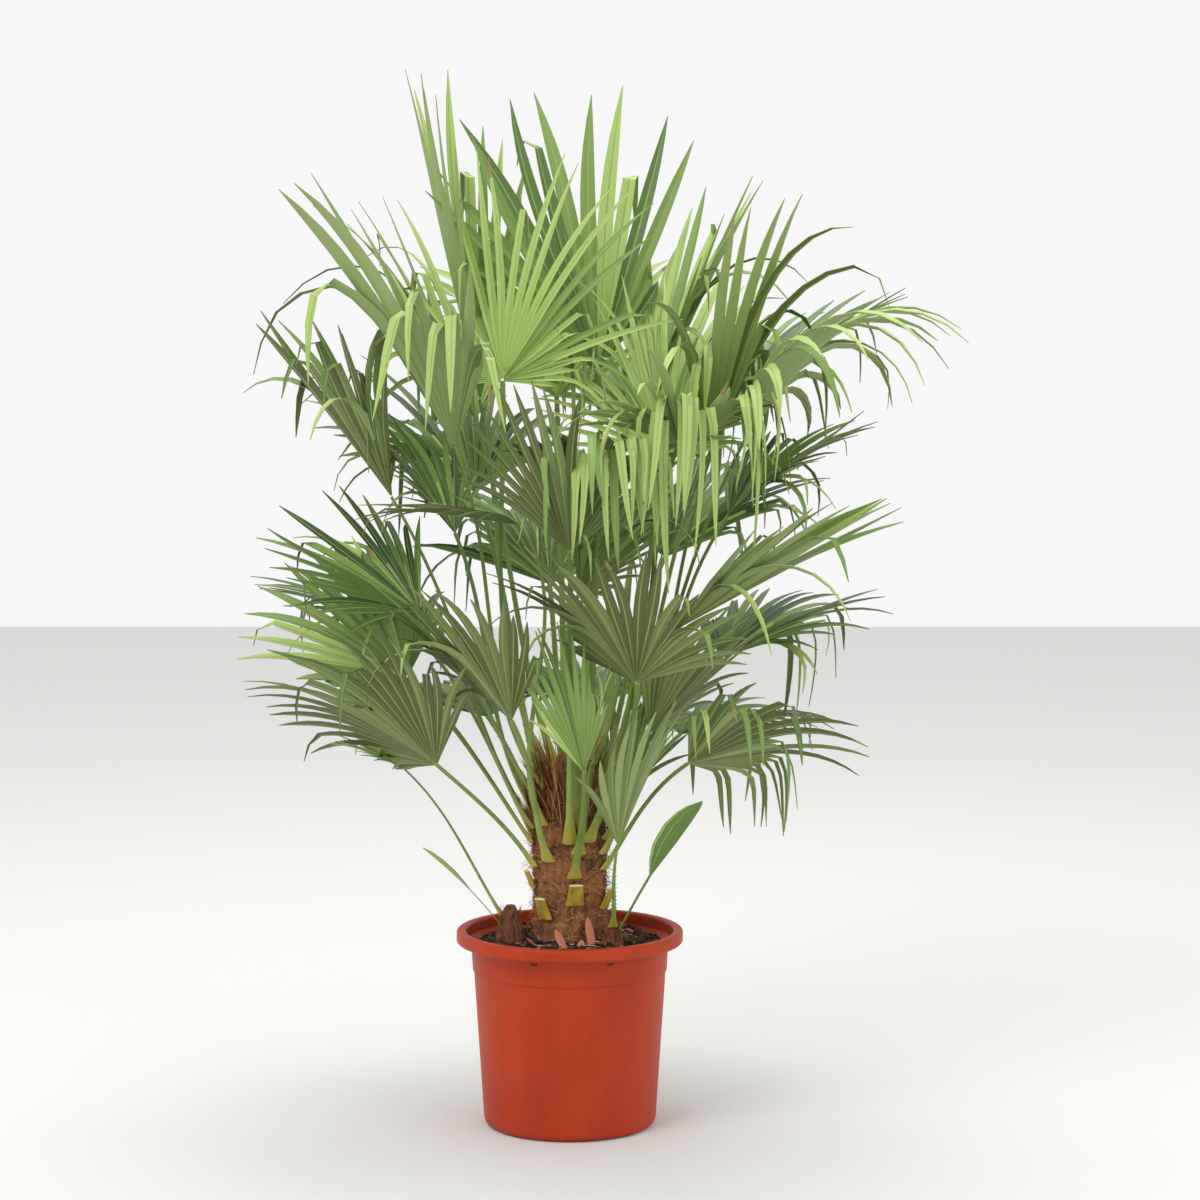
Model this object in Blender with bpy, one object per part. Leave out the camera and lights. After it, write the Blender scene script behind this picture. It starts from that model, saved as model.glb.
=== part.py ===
"""Potted European fan palm: a short fibrous trunk with three side shoots, pleated fan leaves on
slim stalks, and a terracotta-coloured plastic nursery pot with its soil.
Metres, +Z up. The origin is the centre of the pot's flat underside."""

import math
import random
from collections import namedtuple

import bmesh
import bpy
from mathutils import Vector
from mathutils.bvhtree import BVHTree

UP = Vector((0.0, 0.0, 1.0))
SEAT_GAP = 0.0004

# Pot
POT_HEIGHT = 0.260
POT_SIDES = 48
RIM_RADIUS = 0.150
RIM_HEIGHT = 0.017
RIM_ROUND = 0.004
LIP_RADIUS = 0.137
FOOT_RADIUS = 0.1145
FOOT_ROUND = 0.010
STEP_HEIGHT = 0.206
STEP_RADIUS = 0.1272
STEP_DEPTH = 0.0016
NECK_RADIUS = 0.1335
WALL = 0.003
FLOOR = 0.005

# Soil
SOIL_TOP = 0.233
SOIL_DISH = 0.004
SOIL_FLAT_RADIUS = 0.092

# Trunk: height above the pot's underside, and radius
TRUNK_SHAPE = (
    (0.000, 0.0535), (0.016, 0.0505), (0.045, 0.0480), (0.080, 0.0470), (0.110, 0.0480),
    (0.135, 0.0490), (0.160, 0.0470), (0.185, 0.0425), (0.210, 0.0355), (0.232, 0.0270),
    (0.252, 0.0170), (0.264, 0.0080),
)
TRUNK_SIDES = 24
SCAR_RELIEF = 0.0016
SCAR_TURNS = 8
SCAR_PITCH = 0.034
SPEAR_LENGTH = 0.30
SPEAR_RADIUS = 0.006

# Side shoots: foot on the soil, height and radius at the foot
Shoot = namedtuple("Shoot", "name x y height radius")
SHOOTS = (
    Shoot("shoot_left", -0.078, -0.022, 0.062, 0.019),
    Shoot("shoot_right", 0.056, -0.052, 0.052, 0.014),
    Shoot("shoot_back", 0.020, 0.082, 0.045, 0.015),
)
SHOOT_SIDES = 12

# Cut leaf bases left on the trunk: turn round the trunk, height above the soil, width, length
Stub = namedtuple("Stub", "name turn height width length")
STUBS = (
    Stub("stub_front", -82, 0.068, 0.024, 0.030),
    Stub("stub_front_left", -128, 0.048, 0.022, 0.030),
    Stub("stub_left", -160, 0.086, 0.016, 0.024),
    Stub("stub_right", -28, 0.060, 0.022, 0.028),
    Stub("stub_back", 75, 0.060, 0.023, 0.030),
    Stub("stub_back_left", 128, 0.078, 0.022, 0.028),
)
STUB_THICKNESS = 0.008
STUB_LEAN = 24

# Fans. height is that of the stalk's foot above the soil and aside how far round the trunk the
# foot stands from the hub's heading. Angles are in degrees: turn is the heading of the fan's
# middle line, from +X towards +Y, rise its slope, roll its twist about that line, spread the half angle of the fan, and cup the
# fold of its two halves towards the upper face. droop is how much the segments sag, bent the
# share of them that have snapped over, and snap the fraction of their length where they did.
Fan = namedtuple("Fan", "name carrier height aside hub turn rise roll reach spread cup droop bent snap")


def fan(name, height, hub, turn, rise, reach, spread, aside=0, roll=0, cup=12, droop=0.25,
        bent=0.0, snap=0.55, carrier="trunk"):
    return Fan(name, carrier, height, aside, Vector(hub), turn, rise, roll, reach, spread, cup,
               droop, bent, snap)


FANS = (
    fan("low_front", 0.104, (0.020, -0.150, 0.490), 166, 78, 0.20, 32, roll=-76, cup=10),
    fan("right_low", 0.112, (0.154, -0.080, 0.492), -10, 14, 0.25, 74, roll=-35, droop=0.5, bent=0.3),
    fan("left_low", 0.116, (-0.171, -0.080, 0.490), -175, 36, 0.28, 78, roll=35, droop=0.5, bent=0.2),
    fan("back_low_left", 0.114, (-0.115, 0.185, 0.520), 122, 12, 0.26, 75, droop=0.5, bent=0.2),
    fan("back_low_right", 0.116, (0.150, 0.150, 0.500), 42, 8, 0.26, 75, droop=0.5, bent=0.2),
    fan("right_dark", 0.134, (0.104, -0.070, 0.530), 15, 45, 0.21, 62, roll=-50, cup=20),
    fan("left_centre", 0.126, (-0.073, -0.120, 0.553), -157, 46, 0.26, 62, roll=15, cup=20),
    fan("back_low", 0.126, (0.020, 0.220, 0.530), 86, 15, 0.26, 75, droop=0.5, bent=0.2),
    fan("front_folded", 0.136, (0.030, -0.130, 0.500), -60, 72, 0.20, 22, cup=60, droop=0.05),
    fan("left_fan", 0.146, (-0.210, -0.050, 0.601), 166, 30, 0.24, 84, roll=-55),
    fan("centre_olive", 0.152, (0.086, -0.150, 0.605), -125, 46, 0.26, 84, cup=15),
    fan("right_back_mid", 0.142, (0.205, 0.105, 0.610), 28, 22, 0.27, 72, droop=0.4, bent=0.2),
    fan("left_back_mid", 0.142, (-0.200, 0.120, 0.630), 148, 22, 0.27, 72, droop=0.4, bent=0.2),
    fan("right_mid", 0.152, (0.140, -0.060, 0.665), -9, 28, 0.34, 46, cup=25, droop=0.1),
    fan("left_mid", 0.164, (-0.195, -0.020, 0.683), 180, 31, 0.24, 66, roll=-30, droop=0.1),
    fan("back_mid", 0.150, (-0.030, 0.230, 0.700), 98, 32, 0.29, 75, droop=0.4, bent=0.2),
    fan("centre_back", 0.170, (0.012, -0.060, 0.710), 17, 42, 0.23, 70, roll=-40),
    fan("centre_upper", 0.150, (0.002, -0.150, 0.771), -95, 63, 0.25, 62, cup=25),
    fan("back_mid_right", 0.164, (0.130, 0.200, 0.740), 52, 35, 0.29, 72, droop=0.4, bent=0.3),
    fan("left_flat", 0.172, (-0.065, -0.060, 0.800), 176, 8, 0.22, 76, droop=0.3, bent=0.2),
    fan("left_upper_back", 0.180, (-0.152, 0.040, 0.783), 154, 52, 0.20, 62, cup=20),
    fan("back_upper_left", 0.178, (-0.130, 0.185, 0.830), 128, 42, 0.31, 70, droop=0.4, bent=0.3),
    fan("right_mid_upper", 0.172, (0.209, 0.020, 0.808), 18, 35, 0.24, 62, cup=18),
    fan("left_upper", 0.198, (-0.233, 0.000, 0.833), -174, 52, 0.30, 46, cup=40, droop=0.1),
    fan("right_top_outer", 0.190, (0.186, -0.020, 0.892), -15, 65, 0.38, 58, cup=30, bent=0.45,
        snap=0.42),
    fan("left_top_outer", 0.216, (-0.149, -0.020, 0.899), -163, 57, 0.43, 56, cup=32, bent=0.2),
    fan("right_far", 0.212, (0.227, -0.050, 0.909), -19, 52, 0.37, 58, droop=2.3, bent=0.3,
        snap=0.45),
    fan("front_right", 0.200, (0.140, -0.110, 0.905), -62, 30, 0.30, 80, droop=0.7, bent=0.6,
        snap=0.4),
    fan("front_middle", 0.206, (0.035, -0.120, 0.850), -95, 35, 0.27, 78, droop=0.8, bent=0.6,
        snap=0.4),
    fan("right_upper", 0.206, (0.228, 0.110, 0.957), 18, 33, 0.28, 62, cup=18, droop=0.2),
    fan("back_upper_right", 0.204, (0.120, 0.210, 0.900), 58, 50, 0.33, 70, droop=0.4, bent=0.3),
    fan("left_top_inner", 0.218, (-0.121, 0.100, 0.958), 163, 76, 0.46, 36, cup=30, droop=0.1),
    fan("back_upper", 0.216, (-0.020, 0.235, 0.960), 96, 55, 0.33, 70, droop=0.4, bent=0.3),
    fan("left_back_top", 0.234, (-0.130, 0.175, 0.930), 146, 62, 0.36, 55, cup=20, droop=0.2),
    fan("right_top_inner", 0.226, (0.114, 0.100, 0.957), 17, 64, 0.33, 52, cup=25, droop=0.15),
    fan("face_right", 0.226, (0.125, -0.020, 0.885), 75, 78, 0.26, 84, cup=8, bent=0.2, snap=0.5),
    fan("face_upper", 0.240, (-0.088, 0.020, 0.984), 76, 79, 0.32, 98, cup=6, bent=0.25, snap=0.5),
    fan("back_top", 0.240, (0.037, 0.160, 0.994), 142, 73, 0.41, 52, roll=-35, cup=20, droop=0.05),
    fan("shoot_left_fan", 0.050, (-0.219, 0.020, 0.470), 174, 25, 0.11, 60, carrier="shoot_left"),
    fan("shoot_right_fan", 0.042, (0.063, -0.120, 0.392), -27, 67, 0.22, 50, cup=20,
        carrier="shoot_right"),
    fan("shoot_back_fan", 0.036, (0.060, 0.170, 0.400), 60, 55, 0.20, 55, cup=20,
        carrier="shoot_back"),
)
SEGMENT_ANGLE = 13.5
LEAST_SEGMENTS = 7
SPLITS = (0.42, 0.34, 0.26, 0.18)
SHORTER = (1.0, 0.86, 0.72, 0.58, 0.46)
PLEAT_ANGLE = math.radians(20)
HUB_RADIUS = 0.05
HUB_THICKENING = 1.2
THICKNESS_SHARE = 0.0105
STIFF_PART = 0.3
SNAP_CARRY = 0.45
SEGMENT_MIDDLE = 0.62
SEGMENT_WIDTHS = (0.86, 0.52)
TIP_FALL = 0.34
RIB_STEPS = 12
TIP_WIDTH = 0.0016
CLEARANCE = 0.0005

# Leaf stalks: fraction along the stalk, width and thickness
STALK_SHAPE = ((0.0, 0.0170, 0.0080), (0.10, 0.0110, 0.0070), (0.40, 0.0084, 0.0062),
               (0.72, 0.0074, 0.0056), (0.97, 0.0070, 0.0050), (1.0, 0.0070, 0.0050))
SHOOT_STALK_SCALE = 0.62
STALK_LEAN = 34
STALK_PULL = 0.36
STALK_FOLLOW = 0.8
START_OUT = 0.09

# Young leaves that have not split: carrier, height of the foot, tip and width
Blade = namedtuple("Blade", "name carrier height tip width")
BLADES = (
    Blade("young_blade_right", "shoot_right", 0.036, Vector((0.170, -0.130, 0.450)), 0.046),
    Blade("young_blade_left", "shoot_left", 0.040, Vector((-0.190, -0.070, 0.380)), 0.015),
    Blade("young_blade_back", "shoot_back", 0.030, Vector((-0.060, 0.190, 0.430)), 0.034),
)
BLADE_SHAPE = ((0.0, 0.12), (0.38, 0.14), (0.55, 0.72), (0.72, 1.0), (0.88, 0.62), (1.0, 0.0))
BLADE_THICKNESS = 0.0030

TERRACOTTA = (0.52, 0.135, 0.055)
SOIL_BROWN = (0.045, 0.028, 0.018)
FIBRE_BROWN = (0.16, 0.085, 0.045)
STUB_YELLOW = (0.42, 0.33, 0.09)
LEAF_GREEN = (0.11, 0.20, 0.045)
YOUNG_GREEN = (0.17, 0.30, 0.07)


def clear_scene():
    for item in list(bpy.data.objects):
        bpy.data.objects.remove(item, do_unlink=True)


def material(name, colour, roughness):
    made = bpy.data.materials.get(name)
    if made:
        return made
    made = bpy.data.materials.new(name)
    made.use_nodes = True
    shader = made.node_tree.nodes["Principled BSDF"]
    shader.inputs["Base Color"].default_value = (*colour, 1.0)
    shader.inputs["Roughness"].default_value = roughness
    shader.inputs["Metallic"].default_value = 0.0
    return made


def add_object(name, bm, finish, smooth=None):
    bmesh.ops.recalc_face_normals(bm, faces=bm.faces[:])
    mesh = bpy.data.meshes.new(name)
    bm.to_mesh(mesh)
    bm.free()
    if smooth is not None:
        mesh.shade_smooth()
        mesh.set_sharp_from_angle(angle=math.radians(smooth))
    mesh.materials.append(finish)
    made = bpy.data.objects.new(name, mesh)
    bpy.context.scene.collection.objects.link(made)
    return made


def arc(centre_r, centre_z, radius, start, end, steps):
    points = []
    for step in range(steps + 1):
        angle = math.radians(start + (end - start) * step / steps)
        points.append((centre_r + radius * math.cos(angle), centre_z + radius * math.sin(angle)))
    return points


def turned(profile, sides):
    """A closed solid of revolution about Z from a profile that starts and ends on the axis."""
    bm = bmesh.new()
    verts = [bm.verts.new((r, 0.0, z)) for r, z in profile]
    edges = [bm.edges.new(pair) for pair in zip(verts, verts[1:])]
    bmesh.ops.spin(bm, geom=verts + edges, cent=(0, 0, 0), axis=(0, 0, 1), dvec=(0, 0, 0),
                   angle=math.tau, steps=sides, use_merge=True)
    bmesh.ops.remove_doubles(bm, verts=bm.verts[:], dist=0.00005)
    return bm


def inner_radius(height):
    """Radius of the pot's inside at a height, along its straight tapering wall."""
    share = (height - FLOOR) / (STEP_HEIGHT - FLOOR)
    low = FOOT_RADIUS - WALL
    return low + (STEP_RADIUS - WALL - low) * share


def make_pot():
    rim_foot = POT_HEIGHT - RIM_HEIGHT
    foot = arc(FOOT_RADIUS - FOOT_ROUND, FOOT_ROUND, FOOT_ROUND, -90, -4, 4)
    rim_low = arc(RIM_RADIUS - RIM_ROUND, rim_foot + RIM_ROUND, RIM_ROUND, -90, 0, 3)
    rim_high = arc(RIM_RADIUS - RIM_ROUND, POT_HEIGHT - RIM_ROUND, RIM_ROUND, 0, 90, 3)
    lip = arc(LIP_RADIUS + RIM_ROUND, POT_HEIGHT - RIM_ROUND, RIM_ROUND, 90, 180, 3)
    profile = [(0.0, 0.0), *foot]
    profile += [(STEP_RADIUS, STEP_HEIGHT), (STEP_RADIUS + STEP_DEPTH, STEP_HEIGHT + 0.0008)]
    profile += [(STEP_RADIUS + 0.0028, rim_foot - 0.014), (NECK_RADIUS, rim_foot), *rim_low]
    profile += [*rim_high, *lip, (LIP_RADIUS - 0.0010, rim_foot + 0.002)]
    profile += [(inner_radius(rim_foot - 0.006), rim_foot - 0.006)]
    profile += [(inner_radius(FLOOR), FLOOR), (0.0, FLOOR)]
    return add_object("pot", turned(profile, POT_SIDES), material("pot", TERRACOTTA, 0.5), 35)


def make_soil():
    low = FLOOR + SEAT_GAP
    brim = SOIL_TOP - SOIL_DISH
    profile = [(0.0, low), (inner_radius(low) - SEAT_GAP, low), (inner_radius(brim) - SEAT_GAP, brim)]
    profile += [(SOIL_FLAT_RADIUS + 0.016, SOIL_TOP - SOIL_DISH * 0.7), (SOIL_FLAT_RADIUS, SOIL_TOP)]
    profile += [(0.0, SOIL_TOP)]
    return add_object("soil", turned(profile, POT_SIDES), material("soil", SOIL_BROWN, 0.95), 35)


def make_trunk():
    """The trunk's taper with the criss-cross of old leaf bases as low relief."""
    foot = SOIL_TOP + SEAT_GAP
    profile = [(0.0, foot), *((r, foot + z) for z, r in TRUNK_SHAPE), (0.0, foot + TRUNK_SHAPE[-1][0])]
    bm = turned(profile, TRUNK_SIDES)
    for vert in bm.verts:
        radius = math.hypot(vert.co.x, vert.co.y)
        height = vert.co.z - foot
        if radius < 0.02 or height < 0.01:
            continue
        angle = math.atan2(vert.co.y, vert.co.x)
        wave = math.sin(SCAR_TURNS * angle + math.tau * height / SCAR_PITCH)
        cross = math.sin(SCAR_TURNS * angle - math.tau * height / SCAR_PITCH)
        grow = 1.0 + SCAR_RELIEF * wave * cross / radius
        vert.co.x *= grow
        vert.co.y *= grow
    return add_object("trunk", bm, material("trunk", FIBRE_BROWN, 0.9), 50)


def make_spear():
    """The furled new leaf that stands on the trunk's tip."""
    foot = SOIL_TOP + SEAT_GAP + TRUNK_SHAPE[-1][0] + SEAT_GAP
    profile = [(0.0, foot), (SPEAR_RADIUS * 0.8, foot), (SPEAR_RADIUS, foot + SPEAR_LENGTH * 0.3)]
    profile += [(SPEAR_RADIUS * 0.7, foot + SPEAR_LENGTH * 0.7), (0.0, foot + SPEAR_LENGTH)]
    return add_object("spear", turned(profile, 8), material("young_leaf", YOUNG_GREEN, 0.5), 50)


def make_shoot(shoot):
    foot = SOIL_TOP + SEAT_GAP
    profile = [(0.0, foot), (shoot.radius, foot), (shoot.radius * 0.96, foot + shoot.height * 0.35)]
    profile += [(shoot.radius * 0.66, foot + shoot.height * 0.75)]
    profile += [(shoot.radius * 0.30, foot + shoot.height), (0.0, foot + shoot.height)]
    bm = turned(profile, SHOOT_SIDES)
    bmesh.ops.translate(bm, verts=bm.verts[:], vec=(shoot.x, shoot.y, 0.0))
    return add_object(shoot.name, bm, material("shoot", FIBRE_BROWN, 0.9), 50)


Sheet = namedtuple("Sheet", "points lifts faces")


def add_point(sheet, middle, lift):
    """A point of the sheet's underside; lift carries it to the upper face."""
    sheet.points.append(middle - lift * 0.5)
    sheet.lifts.append(lift)
    return len(sheet.points) - 1


def thicken(sheet):
    """The closed solid between the sheet and its lifted copy."""
    bm = bmesh.new()
    lift_layer = bm.verts.layers.float_vector.new("lift")
    verts = []
    for point, lift in zip(sheet.points, sheet.lifts):
        vert = bm.verts.new(point)
        vert[lift_layer] = lift
        verts.append(vert)
    for face in sheet.faces:
        bm.faces.new([verts[index] for index in face])
    raised = bmesh.ops.extrude_face_region(bm, geom=bm.faces[:], use_keep_orig=True)
    for vert in (item for item in raised["geom"] if isinstance(item, bmesh.types.BMVert)):
        vert.co += vert[lift_layer]
    bm.verts.layers.float_vector.remove(lift_layer)
    return bm


def bounds(points):
    low = tuple(min(point[axis] for point in points) for axis in range(3))
    high = tuple(max(point[axis] for point in points) for axis in range(3))
    return low, high


class Space:
    """The room already taken by solids, so that each new piece can be kept clear of it."""

    def __init__(self):
        self.taken = []

    def add(self, points, faces, owner):
        low, high = bounds(points)
        self.taken.append((low, high, BVHTree.FromPolygons(points, faces), owner))

    def add_object(self, item, owner):
        points = [vert.co.copy() for vert in item.data.vertices]
        self.add(points, [tuple(face.vertices) for face in item.data.polygons], owner)

    def clashes(self, points, faces, skip=()):
        low, high = bounds(points)
        tree = None
        found = []
        for other_low, other_high, other_tree, owner in self.taken:
            if owner in skip:
                continue
            if any(low[k] > other_high[k] or high[k] < other_low[k] for k in range(3)):
                continue
            tree = tree or BVHTree.FromPolygons(points, faces)
            if tree.overlap(other_tree):
                found.append(owner)
        return found

    def tree_of(self, wanted):
        return next(tree for _, _, tree, owner in self.taken if owner == wanted)


def slab(stations, margin=0.0):
    """Points and faces of the closed strip through stations of left point, right point and lift."""
    points, faces = [], []
    for left, right, lift in stations:
        across = (right - left).normalized() * margin
        above = lift.normalized() * margin
        under = lift * -0.5 - above
        over = lift * 0.5 + above
        points += [left - across + under, right + across + under,
                   right + across + over, left - across + over]
    for start in range(0, len(points) - 4, 4):
        for side in range(4):
            turn = (side + 1) % 4
            near, far = (start + side, start + turn), (start + 4 + side, start + 4 + turn)
            if side == 2:
                faces += [(near[1], near[0], far[0]), (near[1], far[0], far[1])]
            else:
                faces += [(near[0], near[1], far[1]), (near[0], far[1], far[0])]
    last = len(points) - 4
    faces += [(3, 2, 1, 0), (last, last + 1, last + 2, last + 3)]
    return points, faces


def fan_frame(item):
    """The fan's middle line, its sideways direction and its upper face's normal."""
    turn, rise, roll = (math.radians(value) for value in (item.turn, item.rise, item.roll))
    axis = Vector((math.cos(rise) * math.cos(turn), math.cos(rise) * math.sin(turn), math.sin(rise)))
    side = Vector((math.sin(turn), -math.cos(turn), 0.0))
    face = side.cross(axis)
    return axis, side * math.cos(roll) - face * math.sin(roll), \
        face * math.cos(roll) + side * math.sin(roll)


def ray(item, angle):
    """Direction, sideways direction and normal of the fan at an angle from its middle line."""
    axis, side, face = fan_frame(item)
    cup = math.radians(item.cup)
    half = 0.0 if abs(angle) < 1e-6 else math.copysign(1.0, angle)
    out = side * math.cos(cup) + face * math.sin(cup) * half
    along = axis * math.cos(angle) + out * math.sin(angle)
    across = out * math.cos(angle) - axis * math.sin(angle)
    return along, across, across.cross(along)


def rib(item, angle, snapped):
    """Points and directions down one segment of the fan, from the hub to its tip."""
    along, _, _ = ray(item, angle)
    share = angle / math.radians(item.spread)
    length = item.reach * (1.0 - TIP_FALL * share * share)
    place = item.hub.copy()
    line = [(place.copy(), along.copy())]
    for step in range(RIB_STEPS):
        part = (step + 0.5) / RIB_STEPS
        if snapped and part > item.snap:
            along = (along * SNAP_CARRY - UP).normalized()
        elif part > STIFF_PART:
            along = (along - UP * item.droop * part / RIB_STEPS * 2.0).normalized()
        place = place + along * (length / RIB_STEPS)
        line.append((place.copy(), along.copy()))
    return line


def along_rib(line, part):
    """Point and direction at a fraction of a rib's length."""
    place = min(max(part, 0.0), 1.0) * RIB_STEPS
    index = min(int(place), RIB_STEPS - 1)
    share = place - index
    return line[index][0].lerp(line[index + 1][0], share), line[index + 1][1]


def segment_count(item):
    return max(LEAST_SEGMENTS, round(2 * item.spread / SEGMENT_ANGLE))


def edge_angle(item, edge):
    return math.radians(item.spread) * (2.0 * edge / segment_count(item) - 1.0)


def leaf_thickness(item):
    return item.reach * THICKNESS_SHARE


def pleat_point(item, edge, radius):
    """A point on a fold of the pleated part: folds lie above and below the fan by turns."""
    angle = edge_angle(item, edge)
    along, _, face = ray(item, angle)
    half_width = radius * math.radians(item.spread) / segment_count(item)
    height = half_width * math.tan(PLEAT_ANGLE) * (1 if edge % 2 else -1)
    return item.hub + along * radius + face * height, face


def split_radius(item, edge, split):
    share = edge_angle(item, edge) / math.radians(item.spread)
    return item.reach * (1.0 - TIP_FALL * share * share) * split


def is_bent(item, segment):
    return random.Random(f"{item.name} {segment}").random() < item.bent


def segment_stations(item, segment, split, shorter):
    """Stations of one free segment, from the end of the pleats to its tip."""
    angle = edge_angle(item, segment + 0.5)
    snapped = is_bent(item, segment)
    line = rib(item, angle, snapped)
    _, across, _ = ray(item, angle)
    tilt = PLEAT_ANGLE * (1 if segment % 2 else -1)
    thick = leaf_thickness(item)
    left, face_left = pleat_point(item, segment, split_radius(item, segment, split))
    right, _ = pleat_point(item, segment + 1, split_radius(item, segment + 1, split))
    stations = [(left, right, face_left * thick)]
    full_half = (right - left).length * 0.5
    middle = item.snap if snapped else SEGMENT_MIDDLE
    middle_width, outer_width = SEGMENT_WIDTHS
    for part, width in ((middle, middle_width), ((middle + 1.0) * 0.5, outer_width), (1.0, 0.0)):
        part = split + (part - split) * shorter
        point, along = along_rib(line, part)
        flat = (across - along * across.dot(along)).normalized()
        face = flat.cross(along)
        flat = flat * math.cos(tilt) + face * math.sin(tilt)
        face = flat.cross(along)
        stations.append((point - flat * full_half * width, point + flat * full_half * width,
                         face * thick))
    return stations


def pleat_slab(item, stalk, split, margin):
    """Points and faces of the hub and the whole pleated part, thicker by a margin each way."""
    _, _, face = fan_frame(item)
    thick = leaf_thickness(item)
    left, right, lift = stalk[-2]
    rings = [(left, left, lift)]
    for edge in range(segment_count(item) + 1):
        inner, normal = pleat_point(item, edge, item.reach * HUB_RADIUS)
        outer, _ = pleat_point(item, edge, split_radius(item, edge, split))
        rings.append((inner, outer, normal * thick))
    rings.append((right, right, lift))
    hub_lift = face * (thick * HUB_THICKENING * 0.5 + margin)
    points = [item.hub - hub_lift, item.hub + hub_lift]
    for inner, outer, lift in rings:
        half = lift * 0.5 + lift.normalized() * margin
        points += [inner - half, inner + half, outer - half, outer + half]
    faces = []
    for ring in range(len(rings)):
        near = 2 + ring * 4
        far = 2 + (ring + 1) % len(rings) * 4
        faces += [(0, near, far), (1, far + 1, near + 1)]
        if 0 < ring < len(rings) - 2:
            for level in (0, 1):
                faces += [(near + level, far + level, far + 2 + level),
                          (near + level, far + 2 + level, near + 2 + level)]
            faces += [(near + 2, near + 3, far + 3), (near + 2, far + 3, far + 2)]
    first, last = 6, 2 + (len(rings) - 2) * 4
    for edge in (first, last):
        faces += [(edge, edge + 1, edge + 3), (edge, edge + 3, edge + 2)]
    return points, faces


def stalk_stations(item, trunk_tree, centre, scale):
    """Stations of a leaf stalk from its seat on the trunk up to the hub."""
    hub_axis, hub_side, _ = fan_frame(item)
    foot_turn = math.atan2(item.hub.y - centre.y, item.hub.x - centre.x) + math.radians(item.aside)
    outward = Vector((math.cos(foot_turn), math.sin(foot_turn), 0.0))
    lean = math.radians(STALK_LEAN)
    start = (outward * math.sin(lean) + UP * math.cos(lean)).normalized()
    level = UP.cross(outward)
    if level.dot(hub_side) < 0.0:
        level = -level
    foot = centre + outward * START_OUT + UP * (SOIL_TOP + item.height)
    foot = settle(foot, outward, start, level, trunk_tree, STALK_SHAPE[0][1] * scale,
                  STALK_SHAPE[0][2] * scale)
    reach = (item.hub - foot).length
    end = ((item.hub - foot).normalized() + hub_axis * STALK_FOLLOW).normalized()
    first = foot + start * reach * STALK_PULL
    second = item.hub - end * reach * STALK_PULL
    stations = []
    for part, width, thick in STALK_SHAPE:
        rest = 1.0 - part
        point = foot * rest ** 3 + first * 3 * rest ** 2 * part \
            + second * 3 * rest * part ** 2 + item.hub * part ** 3
        along = (first - foot) * rest ** 2 + (second - first) * 2 * rest * part \
            + (item.hub - second) * part ** 2
        along.normalize()
        flat = level.lerp(hub_side, part)
        flat = (flat - along * flat.dot(along)).normalized()
        half = flat * width * 0.5 * scale
        stations.append((point - half, point + half, flat.cross(along) * thick * scale))
    return stations


def settle(foot, outward, start, level, tree, width, thick):
    """Slide a stalk's foot inwards until it stands just clear of what carries it."""
    face = level.cross(start)
    corners = []
    for across in (-0.5, -0.25, 0.0, 0.25, 0.5):
        for over in (-0.5, 0.0, 0.5):
            corners.append(level * width * across + face * thick * over)
    for _ in range(40):
        near = min(tree.find_nearest(foot + corner)[3] for corner in corners)
        if near < SEAT_GAP * 1.15:
            break
        foot = foot - outward * (near - SEAT_GAP) * 0.8
    return foot


def add_strip(sheet, first_pair, stations):
    """Join stations of left point, right point and lift on to the pair of points before them."""
    pair = first_pair
    for left, right, lift in stations:
        if (right - left).length < TIP_WIDTH:
            tip = add_point(sheet, (left + right) * 0.5, lift)
            sheet.faces.append((pair[0], pair[1], tip))
            return None
        fresh = (add_point(sheet, left, lift), add_point(sheet, right, lift))
        if pair:
            add_quad(sheet, pair[0], pair[1], fresh[1], fresh[0])
        pair = fresh
    return pair


def add_quad(sheet, first, second, third, fourth):
    sheet.faces.extend([(first, second, third), (first, third, fourth)])


def make_fan(item, stalk, split, segments):
    """One leaf: stalk, hub, pleated fan and free segments as one thin solid."""
    sheet = Sheet([], [], [])
    thick = leaf_thickness(item)
    _, _, face = fan_frame(item)
    last = add_strip(sheet, None, stalk[:-1])
    hub_radius = item.reach * HUB_RADIUS
    centre = add_point(sheet, item.hub, face * thick * HUB_THICKENING)
    inner, outer = [], []
    for edge in range(segment_count(item) + 1):
        point, normal = pleat_point(item, edge, hub_radius)
        inner.append(add_point(sheet, point, normal * thick))
        point, normal = pleat_point(item, edge, split_radius(item, edge, split))
        outer.append(add_point(sheet, point, normal * thick))
    rim = [last[0], *inner, last[1]]
    for first, second in zip(rim, rim[1:] + rim[:1]):
        sheet.faces.append((centre, second, first))
    for edge in range(segment_count(item)):
        add_quad(sheet, inner[edge], inner[edge + 1], outer[edge + 1], outer[edge])
    for segment, stations in segments.items():
        add_strip(sheet, (outer[segment], outer[segment + 1]), stations[1:])
    return add_object(item.name, thicken(sheet), material("leaf", LEAF_GREEN, 0.55))


def plan_blade(item, tree, centre):
    """Stations of a young leaf that has not split: a slim stalk that widens to a lance."""
    aim = item.tip - centre
    outward = Vector((aim.x, aim.y, 0.0)).normalized()
    level = UP.cross(outward)
    foot = centre + outward * 0.05 + UP * (SOIL_TOP + item.height)
    foot = settle(foot, outward, UP, level, tree, item.width * BLADE_SHAPE[0][1], BLADE_THICKNESS)
    middle = foot.lerp(item.tip, 0.5) + UP * (item.tip - foot).length * 0.08
    stations = []
    for part, width in BLADE_SHAPE:
        rest = 1.0 - part
        point = foot * rest ** 2 + middle * 2 * rest * part + item.tip * part ** 2
        along = ((middle - foot) * rest + (item.tip - middle) * part).normalized()
        half = level * item.width * 0.5 * max(width, 0.02)
        stations.append((point - half, point + half, level.cross(along) * BLADE_THICKNESS))
    return stations


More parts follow.
